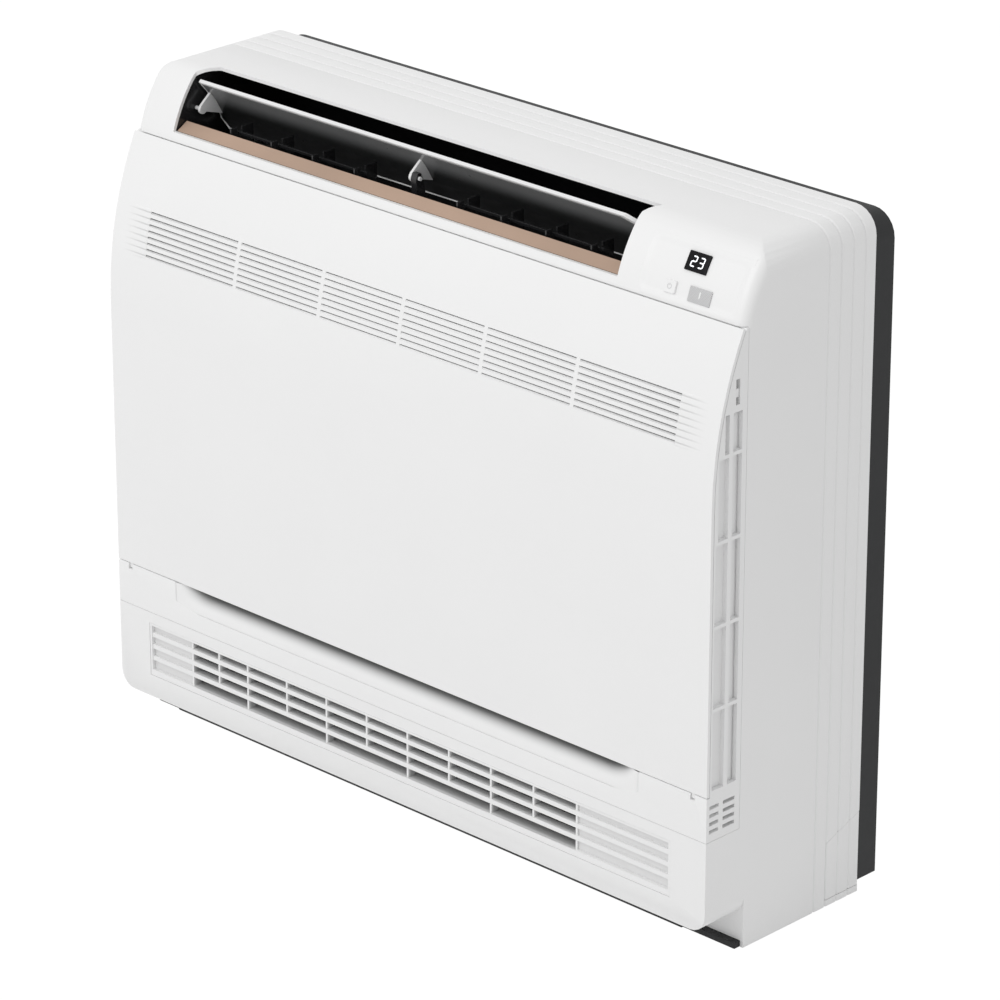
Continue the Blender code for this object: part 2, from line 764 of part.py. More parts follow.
PANEL_RISE = PANEL_HIGH - PANEL_CURVE_START
PANEL_RADIUS = (PANEL_SETBACK ** 2 + PANEL_RISE ** 2) / (2 * PANEL_SETBACK)


def panel_depth(height, inset=0.0):
    """Depth of the panel's outer face at a height, or of a face that lies inset behind it."""
    rise = max(height - PANEL_CURVE_START, 0.0)
    return PANEL_RADIUS - math.sqrt((PANEL_RADIUS - inset) ** 2 - rise ** 2)


def slot_edges():
    """Heights of the lower and upper edge of each panel slot, from below."""
    edges = []
    for i in reversed(range(SLOT_COUNT)):
        middle = SLOT_TOP - i * SLOT_PITCH
        edges += [middle - SLOT_HEIGHT / 2, middle + SLOT_HEIGHT / 2]
    return edges


def slot_ends():
    """X values where slots begin and end, in pairs from the left."""
    bridges = sorted({offset * side for offset in BRIDGE_OFFSETS for side in (-1, 1)})
    ends = [-SLOT_REACH]
    for middle in bridges:
        ends += [middle - BRIDGE_WIDTH / 2, middle + BRIDGE_WIDTH / 2]
    ends.append(SLOT_REACH)
    return ends


def make_front_panel():
    edges = slot_edges()
    heights = [PANEL_LOW, PANEL_CURVE_START, PANEL_CURVE_START + 0.024] + edges
    above = 4
    heights += [edges[-1] + (PANEL_HIGH - edges[-1]) * (i + 1) / above for i in range(above)]
    ends = slot_ends()
    across = [-WIDTH / 2] + ends + [WIDTH / 2]
    shape = bmesh.new()
    rows = [[shape.verts.new((x, back(panel_depth(z)), z)) for x in across] for z in heights]
    for i in range(len(heights) - 1):
        in_slot_row = heights[i] in edges[::2]
        for j in range(len(across) - 1):
            if in_slot_row and across[j] in ends[::2]:
                continue
            shape.faces.new((rows[i][j], rows[i][j + 1], rows[i + 1][j + 1], rows[i + 1][j]))
    mesh = bpy.data.meshes.new("front_panel")
    shape.to_mesh(mesh)
    shape.free()
    panel = place(bpy.data.objects.new("front_panel", mesh), PLASTIC)
    wall = panel.modifiers.new("wall", "SOLIDIFY")
    wall.thickness = PANEL_THICK
    wall.offset = -1.0
    wall.use_even_offset = True
    pivot = (back(HINGE_DEPTH), HINGE_HEIGHT)
    inner = WIDTH / 2 - LATTICE_DEEP - 2 * GAP
    for side in (-1, 1):
        tag = "left" if side < 0 else "right"
        lug_ends = sorted((side * inner, side * (inner - HINGE_LUG)))
        lug = box("panel_lug_" + tag, lug_ends,
                  (back(HINGE_DEPTH - LUG_HALF), back(HINGE_DEPTH + LUG_HALF)),
                  (HINGE_HEIGHT - LUG_HALF, PANEL_LOW + 0.003))
        pin_ends = sorted((side * (inner - HINGE_LUG / 2), side * (inner + 0.006)))
        pin = cylinder("panel_pin_" + tag, pivot, HINGE_PIN, pin_ends[0], pin_ends[1], "X",
                       sides=16)
        join(panel, lug, pin)
    pivoted(panel, (0.0, *pivot))
    return panel


# Front frame


def scoop_section(x, share):
    """Outline of the finger scoop at one x; its depth is this share of the full depth."""
    lift = SCOOP_LIFT * (1 - share) ** 2
    top = SHELF + 0.002
    points = [(-CUTTER_REACH, top), (-CUTTER_REACH, SCOOP_FACE[0][1] + lift)]
    points += [(depth * share, height + lift) for depth, height in SCOOP_FACE]
    points.append((SCOOP_FACE[-1][0] * share, top))
    return [(x, back(depth), height) for depth, height in points]


def finger_scoop():
    """The recess along the strip, with ends that run out softly."""
    step = SCOOP_END / (len(SCOOP_TAPER) - 1)
    left = [(-SCOOP_REACH + i * step, share) for i, share in enumerate(SCOOP_TAPER)]
    right = [(-x, share) for x, share in reversed(left)]
    return skinned("finger_scoop", [scoop_section(x, share) for x, share in left + right])


def make_front_frame():
    half = WIDTH / 2
    front = PANEL_THICK + FRAME_CLEARANCE
    rear = BULKHEAD_DEPTH - GAP
    low = SEAM_LOW + GAP
    high = PANEL_HIGH
    heights = [PANEL_CURVE_START + (high - PANEL_CURVE_START) * i / 9 for i in range(10)]
    outline = [(rear, low), (0.0, low), (0.0, STRIP_TOP - STRIP_EDGE[1]),
               (STRIP_EDGE[0], STRIP_TOP), (front, STRIP_TOP)]
    outline += [(panel_depth(z, front), z) for z in heights]
    outline.append((rear, high))
    frame = extruded("front_frame", at_depth(outline), "X", -half, half, PLASTIC)
    inner = half - LATTICE_DEEP
    cavity = box("frame_cavity", (-inner, inner),
                 (back(-CUTTER_REACH), back(rear - FRAME_REAR_WALL)),
                 (SHELF, high - 0.003))
    behind = box("frame_rear_pocket", (-inner, inner),
                 (back(SCOOP_FACE[-1][0] + WALL), back(rear + CUTTER_REACH)),
                 (low + WALL, SHELF - WALL))
    cut(frame, cavity, behind, finger_scoop())
    for side in (-1, 1):
        tag = "left" if side < 0 else "right"
        reach = sorted((side * (half + CUTTER_REACH), side * (inner - 0.002)))
        window = FILTER_HIGH - FILTER_LOW - 2 * FILTER_FRAME
        ends = sorted((side * (FILTER_INNER + FILTER_FRAME), side * (FILTER_OUTER - FILTER_FRAME)))
        opening = box("filter_window_" + tag, ends, (back(rear - 0.006), back(rear + 0.002)),
                      (FILTER_LOW + FILTER_FRAME, FILTER_LOW + FILTER_FRAME + window))
        cut(frame, opening)
        for row in range(LATTICE_ROWS):
            bottom = CROSSBAR_LOW + RIB + row * CROSSBAR_PITCH
            top = bottom + CROSSBAR_PITCH - RIB
            if row == LATTICE_ROWS - 1:
                top = bottom + CROSSBAR_PITCH / 2 - RIB
            for column, (near, far) in enumerate((COLUMN_FRONT, COLUMN_REAR)):
                near_now = max(near, panel_depth(top, front) + 0.0015)
                cut(frame, box("lattice_%s_%d_%d" % (tag, row, column), reach,
                               (back(near_now), back(far)), (bottom, top)))
        for row in range(SIDE_SLOT_COUNT):
            bottom = SIDE_SLOT_LOW + row * SIDE_SLOT_PITCH
            for column, (near, far) in enumerate(((0.0035, 0.0145), (0.0195, 0.0335))):
                cut(frame, box("side_slot_%s_%d_%d" % (tag, row, column), reach,
                               (back(near), back(far)), (bottom, bottom + SIDE_SLOT_HEIGHT)))
        slot_half = STOPPER_KNOB[0] / 2 + STOPPER_PLAY
        slot = box("stopper_slot_" + tag, reach,
                   (back(STOPPER_DEPTH - slot_half), back(STOPPER_DEPTH + slot_half)),
                   (STOPPER_LOW - STOPPER_BELOW,
                    STOPPER_LOW + STOPPER_KNOB[1] + STOPPER_TRAVEL + STOPPER_PLAY))
        pin_ends = sorted((side * (inner - 0.001), side * (inner + 0.0075)))
        hole = cylinder("frame_pin_hole_" + tag, (back(HINGE_DEPTH), HINGE_HEIGHT),
                        HINGE_PIN + HINGE_PLAY, pin_ends[0], pin_ends[1], "X", sides=16)
        lug_ends = sorted((side * inner, side * (inner - HINGE_LUG - 4 * GAP)))
        pocket = box("lug_pocket_" + tag, lug_ends,
                     (back(-CUTTER_REACH), back(HINGE_DEPTH + LUG_HALF + LUG_CLEARANCE)),
                     (HINGE_HEIGHT - LUG_HALF - LUG_CLEARANCE, SHELF + 0.001))
        cut(frame, slot, hole, pocket)
    return frame


def make_stoppers():
    half = WIDTH / 2
    inner = half - LATTICE_DEEP
    for side, name in ((-1, "panel_stopper_left"), (1, "panel_stopper_right")):
        thick, tall = STOPPER_KNOB
        knob_ends = sorted((side * (half - 0.001), side * (inner - GAP - STOPPER_PLATE / 2)))
        plate_ends = sorted((side * (inner - GAP), side * (inner - GAP - STOPPER_PLATE)))
        stopper = box(name, knob_ends,
                      (back(STOPPER_DEPTH - thick / 2), back(STOPPER_DEPTH + thick / 2)),
                      (STOPPER_LOW, STOPPER_LOW + tall), PLASTIC)
        plate = box(name + "_plate", plate_ends,
                    (back(STOPPER_DEPTH - thick), back(STOPPER_DEPTH + thick)),
                    (STOPPER_LOW - 0.003, STOPPER_LOW + tall + 0.003))
        join(stopper, plate)
        pivoted(stopper, (side * inner, back(STOPPER_DEPTH), STOPPER_LOW))


def make_filters():
    for side, name in ((-1, "air_filter_left"), (1, "air_filter_right")):
        ends = sorted((side * FILTER_INNER, side * FILTER_OUTER))
        rear = BULKHEAD_DEPTH - GAP - FRAME_REAR_WALL - GAP
        deep = (back(FILTER_FRONT), back(rear))
        body = box(name, ends, deep, (FILTER_LOW, FILTER_HIGH), look(GREY, 0.6))
        across, up = FILTER_RIBS
        width = ends[1] - ends[0] - FILTER_FRAME
        height = FILTER_HIGH - FILTER_LOW - FILTER_FRAME
        cell_x = width / across
        cell_z = height / up
        for i in range(across):
            for j in range(up):
                left = ends[0] + FILTER_FRAME + i * cell_x
                low = FILTER_LOW + FILTER_FRAME + j * cell_z
                right = left + cell_x - (FILTER_FRAME if i == across - 1 else RIB)
                high = low + cell_z - (FILTER_FRAME if j == up - 1 else RIB)
                cut(body, box("%s_cell_%d_%d" % (name, i, j), (left, right),
                              (deep[0] - 0.001, deep[1] + 0.001), (low, high)))


# Top duct with its flap and vanes


def seal_outline():
    """Side outline of the seal strip: front, rear, and the two corners below them."""
    front = (SEAL_FRONT, OUTLET_LOW + 0.0004)
    rear = (SEAL_FRONT + SEAL_DEEP, front[1] + SEAL_RISE)
    return [front, rear, (rear[0], rear[1] - SEAL_THICK),
            (front[0] + 0.0012, front[1] - SEAL_THICK)]


def duct_inside():
    """Side outline of the air space in the top duct, with the seat of the seal strip."""
    seat_rear, seat_front = seal_outline()[2:]
    rise = (seat_rear[1] - seat_front[1]) / (seat_rear[0] - seat_front[0])
    wall_top = seat_front[1] - GAP + rise * (DUCT_FRONT - seat_front[0])
    rear_curve = arc((DUCT_REAR - DUCT_BEND, DUCT_ROOF - DUCT_BEND), DUCT_BEND,
                     math.radians(4), math.radians(90), 7)
    points = [(DUCT_FRONT, wall_top), (DUCT_FRONT, DUCT_FLOOR), (DUCT_MOUTH_FRONT, DUCT_FLOOR),
              (DUCT_MOUTH_FRONT, SCROLL_HIGH - CUTTER_REACH), (DUCT_REAR, SCROLL_HIGH - CUTTER_REACH)]
    points += rear_curve
    points += [(OUTLET_REAR + 0.005, DUCT_ROOF), (OUTLET_REAR + 0.002, HEIGHT + CUTTER_REACH),
               (0.0, HEIGHT + CUTTER_REACH), (0.0, seat_front[1] - GAP),
               (seat_front[0], seat_front[1] - GAP)]
    return at_depth(points)


def make_duct():
    """The duct is a block that follows the fascia from inside, with the air space cut out."""
    skin = WALL + GAP
    rear_curve = arc((DUCT_REAR - DUCT_BEND, DUCT_ROOF - DUCT_BEND),
                     HEIGHT - skin - DUCT_ROOF + DUCT_BEND, 0.0, math.radians(90), 7)
    lip = SEAM_HIGH + skin
    outline = [(DUCT_FRONT - DUCT_WALL, lip), (DUCT_FRONT - DUCT_WALL, DUCT_FLOOR - DUCT_WALL),
               (DUCT_MOUTH_FRONT - DUCT_WALL, DUCT_FLOOR - DUCT_WALL),
               (DUCT_MOUTH_FRONT - DUCT_WALL, SCROLL_HIGH + GAP),
               (DUCT_REAR + HEIGHT - skin - DUCT_ROOF, SCROLL_HIGH + GAP)]
    outline += rear_curve
    outline += fascia_line(math.pi / 2, fascia_angle(lip, skin), skin, 9)
    duct = extruded("outlet_duct", at_depth(outline), "X", DUCT_LEFT - DUCT_WALL,
                    DUCT_RIGHT + DUCT_WALL, DARK_PLASTIC)
    cut(duct, extruded("duct_air", duct_inside(), "X", DUCT_LEFT, DUCT_RIGHT))
    pivot = (back(PIVOT_DEPTH), PIVOT_HEIGHT)
    for name, ends in (("duct_hole_left", (DUCT_LEFT - 0.01, DUCT_LEFT + 0.01)),
                       ("duct_hole_right", (DUCT_RIGHT - 0.01, DUCT_RIGHT + 0.01))):
        cut(duct, cylinder(name, pivot, FLAP_PIN + 0.0004, ends[0], ends[1], "X", sides=16))
    for group, first in enumerate(VANE_FIRST):
        for i in range(VANE_COUNT):
            spot = (first + i * VANE_PITCH, back(VANE_AXIS))
            cut(duct, cylinder("vane_hole_%d_%d" % (group, i), spot, VANE_PIN + 0.0004,
                               DUCT_FLOOR - 0.01, DUCT_FLOOR + 0.01, "Z", sides=12))
    return duct


def make_seal_strip():
    extruded("outlet_seal_strip", at_depth(seal_outline()), "X", OUTLET_LEFT + 0.0015,
             OUTLET_RIGHT - 0.0015, look(TAN, 0.7))


def swung(points):
    """Turns closed-flap (y, z) points into the open place shown at rest."""
    centre = Vector((back(PIVOT_DEPTH), PIVOT_HEIGHT))
    turn = Matrix.Rotation(-FLAP_OPEN, 2)
    return [tuple(turn @ (Vector(point) - centre) + centre) for point in points]


def flap_corner_cutters():
    """Clips the flap's rear left corner, as the opening's is, and its front right corner."""
    centre = Vector((0.0, back(PIVOT_DEPTH), PIVOT_HEIGHT))
    turn = (Matrix.Translation(centre) @ Matrix.Rotation(-FLAP_OPEN, 4, "X")
            @ Matrix.Translation(-centre))
    left = FLAP_LEFT - 0.002
    rear = [(left, back(OUTLET_REAR - OUTLET_CORNER)), (left + 0.022, back(OUTLET_REAR)),
            (left, back(OUTLET_REAR))]
    right = FLAP_RIGHT + 0.001
    front_edge = fascia_point(FLAP_FRONT_ANGLE, FLAP_INSET)[1] - 0.002
    front = [(right - FLAP_CLIP[0], front_edge), (right, front_edge),
             (right, front_edge + FLAP_CLIP[1])]
    cutters = [extruded("flap_rear_clip", rear, "Z", HEIGHT - 0.020, HEIGHT + 0.001),
               extruded("flap_front_clip", front, "Y", back(0.030), back(0.052))]
    for cutter in cutters:
        cutter.data.transform(turn)
    return cutters


def make_flap():
    steps = 10
    outer = fascia_line(FLAP_FRONT_ANGLE, FLAP_REAR_ANGLE, FLAP_INSET, steps)
    inner = fascia_line(FLAP_REAR_ANGLE, FLAP_FRONT_ANGLE, FLAP_INSET + FLAP_THICK, steps)
    flap = extruded("outlet_flap", swung(at_depth(outer + inner)), "X", FLAP_LEFT, FLAP_RIGHT,
                    look(GREY_WHITE, 0.4))
    pivot = (back(PIVOT_DEPTH), PIVOT_HEIGHT)
    cut(flap, *flap_corner_cutters())
    seat = FLAP_INSET + FLAP_THICK / 2
    near = fascia_point(FLAP_FRONT_ANGLE - math.radians(6), seat)
    far = fascia_point(FLAP_FRONT_ANGLE - math.radians(20), seat)
    rib_shape = [near, far, (PIVOT_DEPTH + 0.001, PIVOT_HEIGHT + FLAP_BOSS),
                 (PIVOT_DEPTH - 0.002, PIVOT_HEIGHT - FLAP_BOSS)]
    ribs = (("left", FLAP_LEFT + FLAP_RIB, DUCT_LEFT - DUCT_WALL),
            ("middle", HANGER_X, HANGER_X + FLAP_RIB + HANGER_THICK + 0.002),
            ("right", FLAP_RIGHT - 2 * FLAP_RIB, DUCT_RIGHT + DUCT_WALL))
    for tag, start, pin_end in ribs:
        rib = extruded("flap_rib_" + tag, swung(at_depth(rib_shape)), "X", start,
                       start + FLAP_RIB)
        boss = cylinder("flap_boss_" + tag, pivot, FLAP_BOSS, start, start + FLAP_RIB, "X",
                        sides=16)
        middle = start + FLAP_RIB / 2
        ends = sorted((middle, pin_end))
        pin = cylinder("flap_pin_" + tag, pivot, FLAP_PIN, ends[0], ends[1], "X", sides=12)
        join(flap, rib, boss, pin)
    pivoted(flap, (0.0, *pivot))
    return flap


def make_hanger():
    start = HANGER_X + FLAP_RIB + GAP
    end = start + HANGER_THICK
    foot = DUCT_FLOOR + GAP
    outline = [(PIVOT_DEPTH - 0.002, foot), (PIVOT_DEPTH + 0.012, foot),
               (PIVOT_DEPTH + 0.004, PIVOT_HEIGHT), (PIVOT_DEPTH + 0.002, PIVOT_HEIGHT + 0.0045),
               (PIVOT_DEPTH - 0.002, PIVOT_HEIGHT + 0.0045), (PIVOT_DEPTH - 0.004, PIVOT_HEIGHT)]
    hanger = extruded("flap_hanger", at_depth(outline), "X", start, end, look(GREY, 0.5))
    cut(hanger, cylinder("hanger_hole", (back(PIVOT_DEPTH), PIVOT_HEIGHT), FLAP_PIN + GAP,
                         start - 0.001, end + 0.001, "X", sides=16))


def vane_spots(group):
    return [VANE_FIRST[group] + i * VANE_PITCH for i in range(VANE_COUNT)]


def make_vanes():
    foot = DUCT_FLOOR + 2 * GAP
    for group, tag in enumerate(("left", "right")):
        for i, x in enumerate(vane_spots(group)):
            name = "%s_vane_%d" % (tag, i + 1)
            outline = at_depth([(VANE_REAR - 0.012, foot), (VANE_REAR, foot + 0.002),
                                (VANE_REAR, VANE_TOP), (VANE_FRONT, VANE_TOP),
                                (VANE_FRONT, foot + 0.010)])
            vane = extruded(name, outline, "X", x - VANE_THICK / 2, x + VANE_THICK / 2,
                            look(BLACK, 0.35))
            pin = cylinder(name + "_pin", (x, back(VANE_AXIS)), VANE_PIN,
                           DUCT_FLOOR - DUCT_WALL, foot + 0.001, "Z", sides=12)
            collar = cylinder(name + "_collar", (x, back(VANE_AXIS)), VANE_PIN, foot,
                              foot + 0.004, "Z", sides=12)
            join(vane, pin, collar)
            middle = VANE_AXIS - LEVER
            notch = box(name + "_notch", (x - 0.004, x + 0.004),
                        (back(middle - 0.0028), back(middle + 0.0028)),
                        (ROD_HEIGHT - ROD_SIDE / 2 - GAP, VANE_TOP + 0.001))
            cut(vane, notch)
            pivoted(vane, (x, back(VANE_AXIS), DUCT_FLOOR))
        spots = vane_spots(group)
        rod = box("%s_link_rod" % tag, (spots[0] - ROD_OVERHANG, spots[-1] + ROD_OVERHANG),
            (back(VANE_AXIS - LEVER - ROD_SIDE / 2), back(VANE_AXIS - LEVER + ROD_SIDE / 2)),
            (ROD_HEIGHT - ROD_SIDE / 2, ROD_HEIGHT + ROD_SIDE / 2), look(GREY, 0.35))
        pivoted(rod, (spots[0], back(VANE_AXIS - LEVER), ROD_HEIGHT))


def make_outlet_motors():
    steel = look(STEEL, 0.4, 0.8)
    spot = (back(PIVOT_DEPTH), PIVOT_HEIGHT)
    start = DUCT_RIGHT + DUCT_WALL + GAP
    motor = cylinder("flap_motor", spot, 0.012, start, start + 0.018, "X", steel)
    cut(motor, cylinder("flap_motor_bore", spot, FLAP_PIN + GAP, start - 0.001, start + 0.004,
                        "X", sides=16))
    for group, tag in enumerate(("left", "right")):
        x = VANE_FIRST[group]
        top = DUCT_FLOOR - DUCT_WALL - GAP
        cylinder("vane_motor_" + tag, (x, back(VANE_AXIS - 0.004)), 0.010, top - 0.014, top, "Z",
                 steel)


# Control cover


def facing(height, x, sink):
    """Frame on the fascia: u along X, v up the face, w out of it; sink lies behind the face."""
    angle = fascia_angle(height)
    depth, z = fascia_point(angle, sink)
    out = Vector((0.0, math.cos(angle), math.sin(angle)))
    up = Vector((0.0, math.sin(angle), -math.cos(angle)))
    turn = Matrix(((1, 0, 0), (0, up.y, out.y), (0, up.z, out.z))).to_4x4()
    return Matrix.Translation((x, back(depth), z)) @ turn


def plate_on_face(name, x, height, size, sink, thick, material=None):
    """A flat plate laid along the fascia with its outer face at this depth below it."""
    shape = bmesh.new()
    bmesh.ops.create_cube(shape, size=1.0)
    stretch = Matrix.Diagonal((size[0], size[1], thick, 1.0))
    shift = Matrix.Translation((0.0, 0.0, -thick / 2))
    shape.transform(facing(height, x, sink) @ shift @ stretch)
    return solid(name, shape, material)


def grown(size, margin):
    return (size[0] + 2 * margin, size[1] + 2 * margin)


def make_controls():
    cover = extruded("control_cover", cover_side(0.0, 0.0, COVER_THICK), "X", COVER_LEFT,
                     COVER_RIGHT, PLASTIC)
    windows = (("display", DISPLAY_X, DISPLAY_HEIGHT, DISPLAY_SIZE),
               ("receiver", RECEIVER_X, RECEIVER_HEIGHT, RECEIVER_SIZE),
               ("button", BUTTON_X, BUTTON_HEIGHT, BUTTON_SIZE))
    for tag, x, height, size in windows:
        cut(cover, plate_on_face("cover_hole_" + tag, x, height, grown(size, GAP), -0.005, 0.020))
    plate_on_face("display_window", DISPLAY_X, DISPLAY_HEIGHT, DISPLAY_SIZE, 0.0002, COVER_THICK,
                  look(BLACK, 0.1))
    plate_on_face("receiver_window", RECEIVER_X, RECEIVER_HEIGHT, RECEIVER_SIZE, 0.0002,
                  COVER_THICK, look(GREY, 0.4))
    button = plate_on_face("power_button", BUTTON_X, BUTTON_HEIGHT, BUTTON_SIZE, -BUTTON_PROUD,
                           BUTTON_LENGTH, PLASTIC)
    pivoted(button, facing(BUTTON_HEIGHT, BUTTON_X, 0.0).translation)
    middle = (COVER_LOW + COVER_HIGH) / 2
    board = plate_on_face("display_board", DISPLAY_X, middle, BOARD_SIZE, BOARD_SINK, BOARD_THICK,
                          look(GREEN, 0.5))
    for i, x in enumerate((-BOARD_POST_X, BOARD_POST_X)):
        post = plate_on_face("board_post_%d" % i, DISPLAY_X + x, middle, (BOARD_POST, BOARD_POST),
                             COVER_THICK + GAP, BOARD_SINK - COVER_THICK)
        join(board, post)


# Lower grille and lower duct


def make_lower_grille():
    """A frame with flat-topped slats, open between the bars and closed at both ends."""
    reach = GRILLE_REACH
    rim = GRILLE_FRAME
    sill_top = GRILLE_LOW + GRILLE_SILL[0]
    body = box("lower_grille", (-reach, reach), (back(GRILLE_FACE), back(GRILLE_DEEP)),
               (GRILLE_LOW, GRILLE_HIGH), PLASTIC)
    open_left = GRILLE_LEFT_BARS[-1]
    open_right = GRILLE_RIGHT_BAR
    inside = (sill_top, GRILLE_HIGH - rim)
    cut(body, box("grille_face", (-reach + rim, reach - rim),
                  (back(-CUTTER_REACH), back(GRILLE_POCKET)), inside))
    cut(body, box("grille_air", (open_left, open_right),
                  (back(-CUTTER_REACH), back(GRILLE_DEEP + CUTTER_REACH)), inside))
    join(body, box("grille_sill", (open_left, open_right),
                   (back(GRILLE_DEEP - 0.002), back(GRILLE_SILL[1])),
                   (GRILLE_LOW + 0.001, sill_top)))
    for i in range(SLAT_COUNT):
        low = inside[1] - SLAT_FIRST - SLAT_FACE - i * SLAT_PITCH
        top = low + SLAT_FACE
        section = [(GRILLE_SINK, low), (GRILLE_SINK, top), (SLAT_REAR, top),
                   (SLAT_REAR, top - SLAT_THICK), (GRILLE_SINK + SLAT_LIP, top - SLAT_THICK),
                   (GRILLE_SINK + SLAT_LIP, low)]
        join(body, extruded("slat_%d" % i, at_depth(section), "X", -reach + rim - 0.001,
                            reach - rim + 0.001))
    bars = [open_right - i * GRILLE_BAR_PITCH for i in range(GRILLE_BAR_COUNT)]
    bars += list(GRILLE_LEFT_BARS)
    for i, x in enumerate(bars):
        foot = inside[0] - 0.001 if i % 2 == 0 else top - SLAT_THICK / 2
        join(body, box("grille_bar_%d" % i, (x - GRILLE_BAR / 2, x + GRILLE_BAR / 2),
                       (back(GRILLE_SINK + SLAT_LIP / 2), back(SLAT_REAR - SLAT_LIP / 2)),
                       (foot, inside[1] + 0.001)))
    return body


def lower_air(margin, front, mouth):
    """Side outline of the bottom air path, grown by margin."""
    top = LOWER_ROOF + margin
    floor = LOWER_FLOOR - margin
    points = [(front, floor)]
    points += [(DUCT_REAR - LOWER_BEND + (LOWER_BEND + margin) * math.sin(a),
                LOWER_FLOOR + LOWER_BEND - (LOWER_BEND + margin) * math.cos(a))
               for a in [math.pi / 2 * i / 6 for i in range(7)]]
    points += [(DUCT_REAR + margin, mouth), (DUCT_MOUTH_FRONT - margin, mouth),
               (DUCT_MOUTH_FRONT - margin, top), (front, top)]
    return at_depth(points)


def make_lower_duct():
    wall = DUCT_WALL
    duct = extruded("lower_duct", lower_air(wall, LOWER_FRONT, SCROLL_LOW - GAP), "X",
                    LOWER_LEFT, LOWER_RIGHT, DARK_PLASTIC)
    cut(duct, extruded("lower_air", lower_air(0.0, LOWER_FRONT - CUTTER_REACH,
                                              SCROLL_LOW + CUTTER_REACH), "X",
                       LOWER_LEFT + wall, LOWER_RIGHT - wall))
    for x, tag in ((LOWER_LEFT, "left"), (LOWER_RIGHT, "right")):
        cut(duct, cylinder("damper_hole_" + tag, (back(DAMPER_DEPTH), DAMPER_HEIGHT),
                           0.0028, x - 0.006, x + 0.006, "X", sides=16))


def make_damper():
    left = LOWER_LEFT + DUCT_WALL + 0.002
    right = LOWER_RIGHT - DUCT_WALL - 0.002
    shape = bmesh.new()
    bmesh.ops.create_cube(shape, size=1.0)
    stretch = Matrix.Diagonal((right - left, DAMPER_CHORD, DAMPER_THICK, 1.0))
    turn = Matrix.Rotation(DAMPER_TILT, 4, "X")
    spot = Matrix.Translation(((left + right) / 2, back(DAMPER_DEPTH), DAMPER_HEIGHT))
    shape.transform(spot @ turn @ stretch)
    damper = solid("bottom_damper", shape, look(BLACK, 0.4))
    axle = cylinder("damper_axle", (back(DAMPER_DEPTH), DAMPER_HEIGHT), 0.0025,
                    LOWER_LEFT, LOWER_RIGHT, "X", sides=12)
    join(damper, axle)
    pivoted(damper, (0.0, back(DAMPER_DEPTH), DAMPER_HEIGHT))
    start = LOWER_RIGHT + GAP
    cylinder("damper_motor", (back(DAMPER_DEPTH), DAMPER_HEIGHT), 0.012, start, start + 0.018,
             "X", look(STEEL, 0.4, 0.8))


# Fan and its housing


def make_scroll():
    rear = DEPTH - PLATE_WALL - GAP
    scroll = box("fan_scroll", (SCROLL_LEFT, SCROLL_RIGHT), (back(SCROLL_FRONT), back(rear)),
                 (SCROLL_LOW, SCROLL_HIGH), look(BLACK, 0.8))
    left = SCROLL_LEFT + SCROLL_WALL
    right = SCROLL_RIGHT - SCROLL_WALL
    waist = FAN_RADIUS + SCROLL_MARGIN
    over = CUTTER_REACH
    outline = [(left, SCROLL_HIGH + over), (left, SCROLL_HIGH - 0.020),
               (FAN_X - waist, FAN_Z + 0.060), (FAN_X - waist, FAN_Z - 0.060),
               (left + 0.030, SCROLL_LOW + 0.010), (left + 0.030, SCROLL_LOW - over),
               (right - 0.030, SCROLL_LOW - over), (right - 0.030, SCROLL_LOW + 0.010),
               (FAN_X + waist, FAN_Z - 0.060), (FAN_X + waist, FAN_Z + 0.060),
               (right, SCROLL_HIGH - 0.020), (right, SCROLL_HIGH + over)]
    cut(scroll, extruded("scroll_air", outline, "Y", back(DUCT_MOUTH_FRONT), back(DUCT_REAR)))
    rim = SCROLL_WALL
    cut(scroll, box("scroll_rear_pocket", (SCROLL_LEFT + rim, SCROLL_RIGHT - rim),
                    (back(DUCT_REAR + rim), back(DEPTH)), (SCROLL_LOW + rim, SCROLL_HIGH - rim)))
    cut(scroll, cylinder("scroll_front", (FAN_X, FAN_Z), FAN_RADIUS + 0.010,
                         back(SCROLL_FRONT - 0.01), back(DUCT_MOUTH_FRONT + 0.01), "Y", sides=40))
    return scroll


def make_bell_mouth():
    plate = box("bell_mouth", (SCROLL_LEFT, SCROLL_RIGHT),
                (back(BELL_FRONT), back(BELL_FRONT + BELL_THICK)), (BELL_LOW, BELL_HIGH),
                look(GREY_WHITE, 0.5))
    lip = turned("bell_lip", [(BELL_RADIUS + 0.008, BELL_FRONT + 0.0005),
                              (BELL_RADIUS + 0.008, BELL_FRONT + BELL_THICK - 0.0005),
                              (BELL_RADIUS + 0.002, BELL_FRONT + BELL_THICK + 0.002),
                              (BELL_RADIUS, BELL_LIP_DEPTH),
                              (BELL_RADIUS - 0.002, BELL_LIP_DEPTH),
                              (BELL_RADIUS - 0.001, BELL_FRONT + 0.0005)], (FAN_X, FAN_Z), 36)
    cut(plate, cylinder("bell_hole", (FAN_X, FAN_Z), BELL_RADIUS + 0.004,
                        back(BELL_FRONT - 0.01), back(BELL_FRONT + 0.02), "Y", sides=36))
    join(plate, lip)
    return plate


def blade_outline(start_angle):
    """A backward-curved blade from the intake to the rim, as (x, z) pairs."""
    steps = 6
    inner = FAN_INTAKE * 0.72
    outer = FAN_RADIUS - 0.002
    sweep = math.radians(46)
    front, rear = [], []
    for i in range(steps + 1):
        share = i / steps
        radius = inner + (outer - inner) * share
        angle = start_angle + sweep * share ** 0.85
        half = 0.0013 / radius
        front.append((FAN_X + radius * math.cos(angle + half),
                      FAN_Z + radius * math.sin(angle + half)))
        rear.append((FAN_X + radius * math.cos(angle - half),
                     FAN_Z + radius * math.sin(angle - half)))
    return front + rear[::-1]


